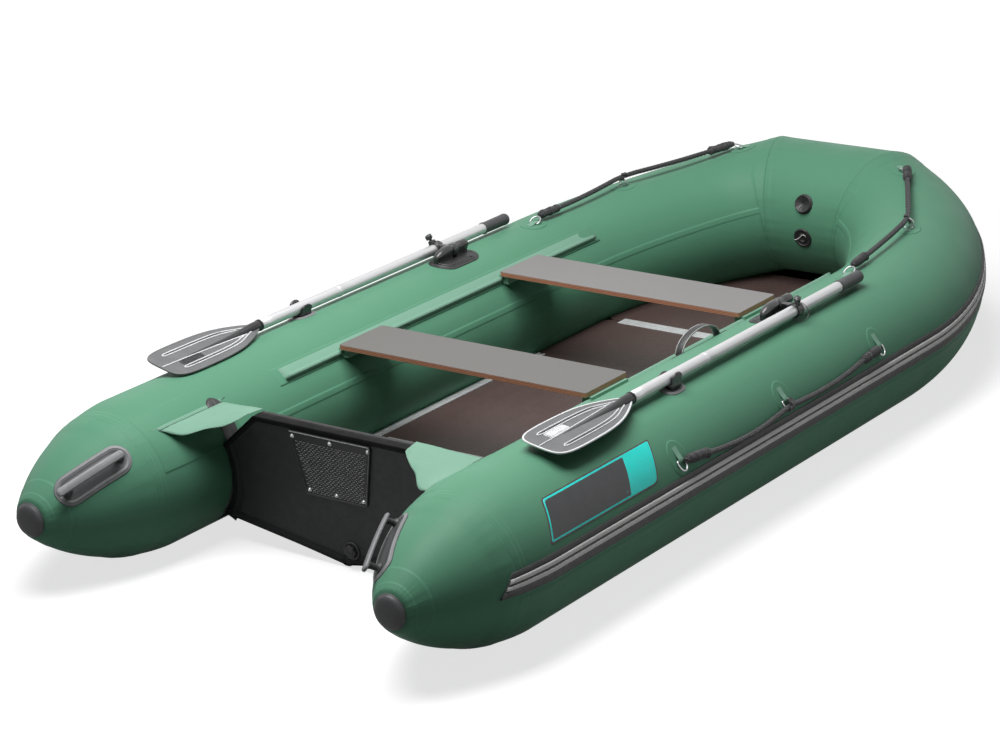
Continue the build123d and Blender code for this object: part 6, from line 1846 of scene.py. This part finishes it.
def floor_material():
    """A pale floor that keeps the object's shadow, and is white where the camera looks straight at it."""
    made, tree, shader = new_material("floor_pale")
    shader.inputs["Roughness"].default_value = 0.9
    shader.inputs["Specular IOR Level"].default_value = 0.0
    place = place_of(tree)
    tone = mix_of(tree, noise_of(tree, place, 0.6, 2), (0.50, 0.50, 0.50), (0.53, 0.53, 0.53))
    tree.links.new(tone, shader.inputs["Base Color"])
    dim = node(tree, "ShaderNodeBsdfDiffuse")
    dim.inputs["Color"].default_value = (0.20, 0.20, 0.20, 1)
    paths, seen = looked_at(tree)
    glow = node(tree, "ShaderNodeEmission")
    # Far from the object, where the lamps don't reach, the floor is as white as it is close by.
    away = node(tree, "ShaderNodeVectorMath")
    away.operation = "LENGTH"
    tree.links.new(place, away.inputs[0])
    reach_of = node(tree, "ShaderNodeMapRange")
    reach_of.interpolation_type = "SMOOTHSTEP"
    for socket, value in (("From Min", 1.9), ("From Max", 4.2), ("To Min", 0.72), ("To Max", 1.0)):
        reach_of.inputs[socket].default_value = value
    tree.links.new(away.outputs["Value"], reach_of.inputs["Value"])
    plain = math_of(tree, "MULTIPLY", paths.outputs["Is Glossy Ray"], -0.85)
    plain = math_of(tree, "ADD", plain, 1.0)
    tree.links.new(math_of(tree, "MULTIPLY", plain, reach_of.outputs["Result"]), glow.inputs["Strength"])
    both = node(tree, "ShaderNodeAddShader")
    tree.links.new(shader.outputs[0], both.inputs[0])
    tree.links.new(glow.outputs[0], both.inputs[1])
    choose(tree, seen, dim, both, "Material Output")
    return made


floor_mesh = bpy.data.meshes.new("floor")
reach = 14.0
floor_mesh.from_pydata([(-reach, -reach, 0), (reach, -reach, 0), (reach, reach, 0), (-reach, reach, 0)], [],
                       [(0, 1, 2, 3)])
floor_mesh.materials.append(floor_material())
floor = bpy.data.objects.new("floor", floor_mesh)
floor.location.z = -0.0005
scene.collection.objects.link(floor)
floor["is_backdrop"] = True

world = bpy.data.worlds.new("studio")
scene.world = world
world.use_nodes = True
tree = world.node_tree
background = tree.nodes["Background"]
background.inputs["Strength"].default_value = 0.10
white = node(tree, "ShaderNodeBackground")
white.inputs["Color"].default_value = (1, 1, 1, 1)
white.inputs["Strength"].default_value = 1.0
choose(tree, looked_at(tree)[1], background, white, "World Output")


def lamp(name, place, target, size, power, length=None):
    light = bpy.data.lights.new(name, "AREA")
    light.shape = "RECTANGLE"
    light.size, light.size_y = size, length or size
    light.energy = power
    made = bpy.data.objects.new(name, light)
    made.location = place
    made.rotation_mode = "QUATERNION"
    made.rotation_quaternion = (Vector(target) - Vector(place)).to_track_quat("-Z", "Y")
    scene.collection.objects.link(made)


lamp("top_light", (-0.1, -0.9, 3.5), (0, -0.4, 0.2), 1.9, 170, 3.4)
lamp("side_light", (4.2, 0.2, 1.05), (0.5, 0.1, 0.3), 1.6, 9)

scene.view_settings.view_transform = "Standard"
low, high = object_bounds()
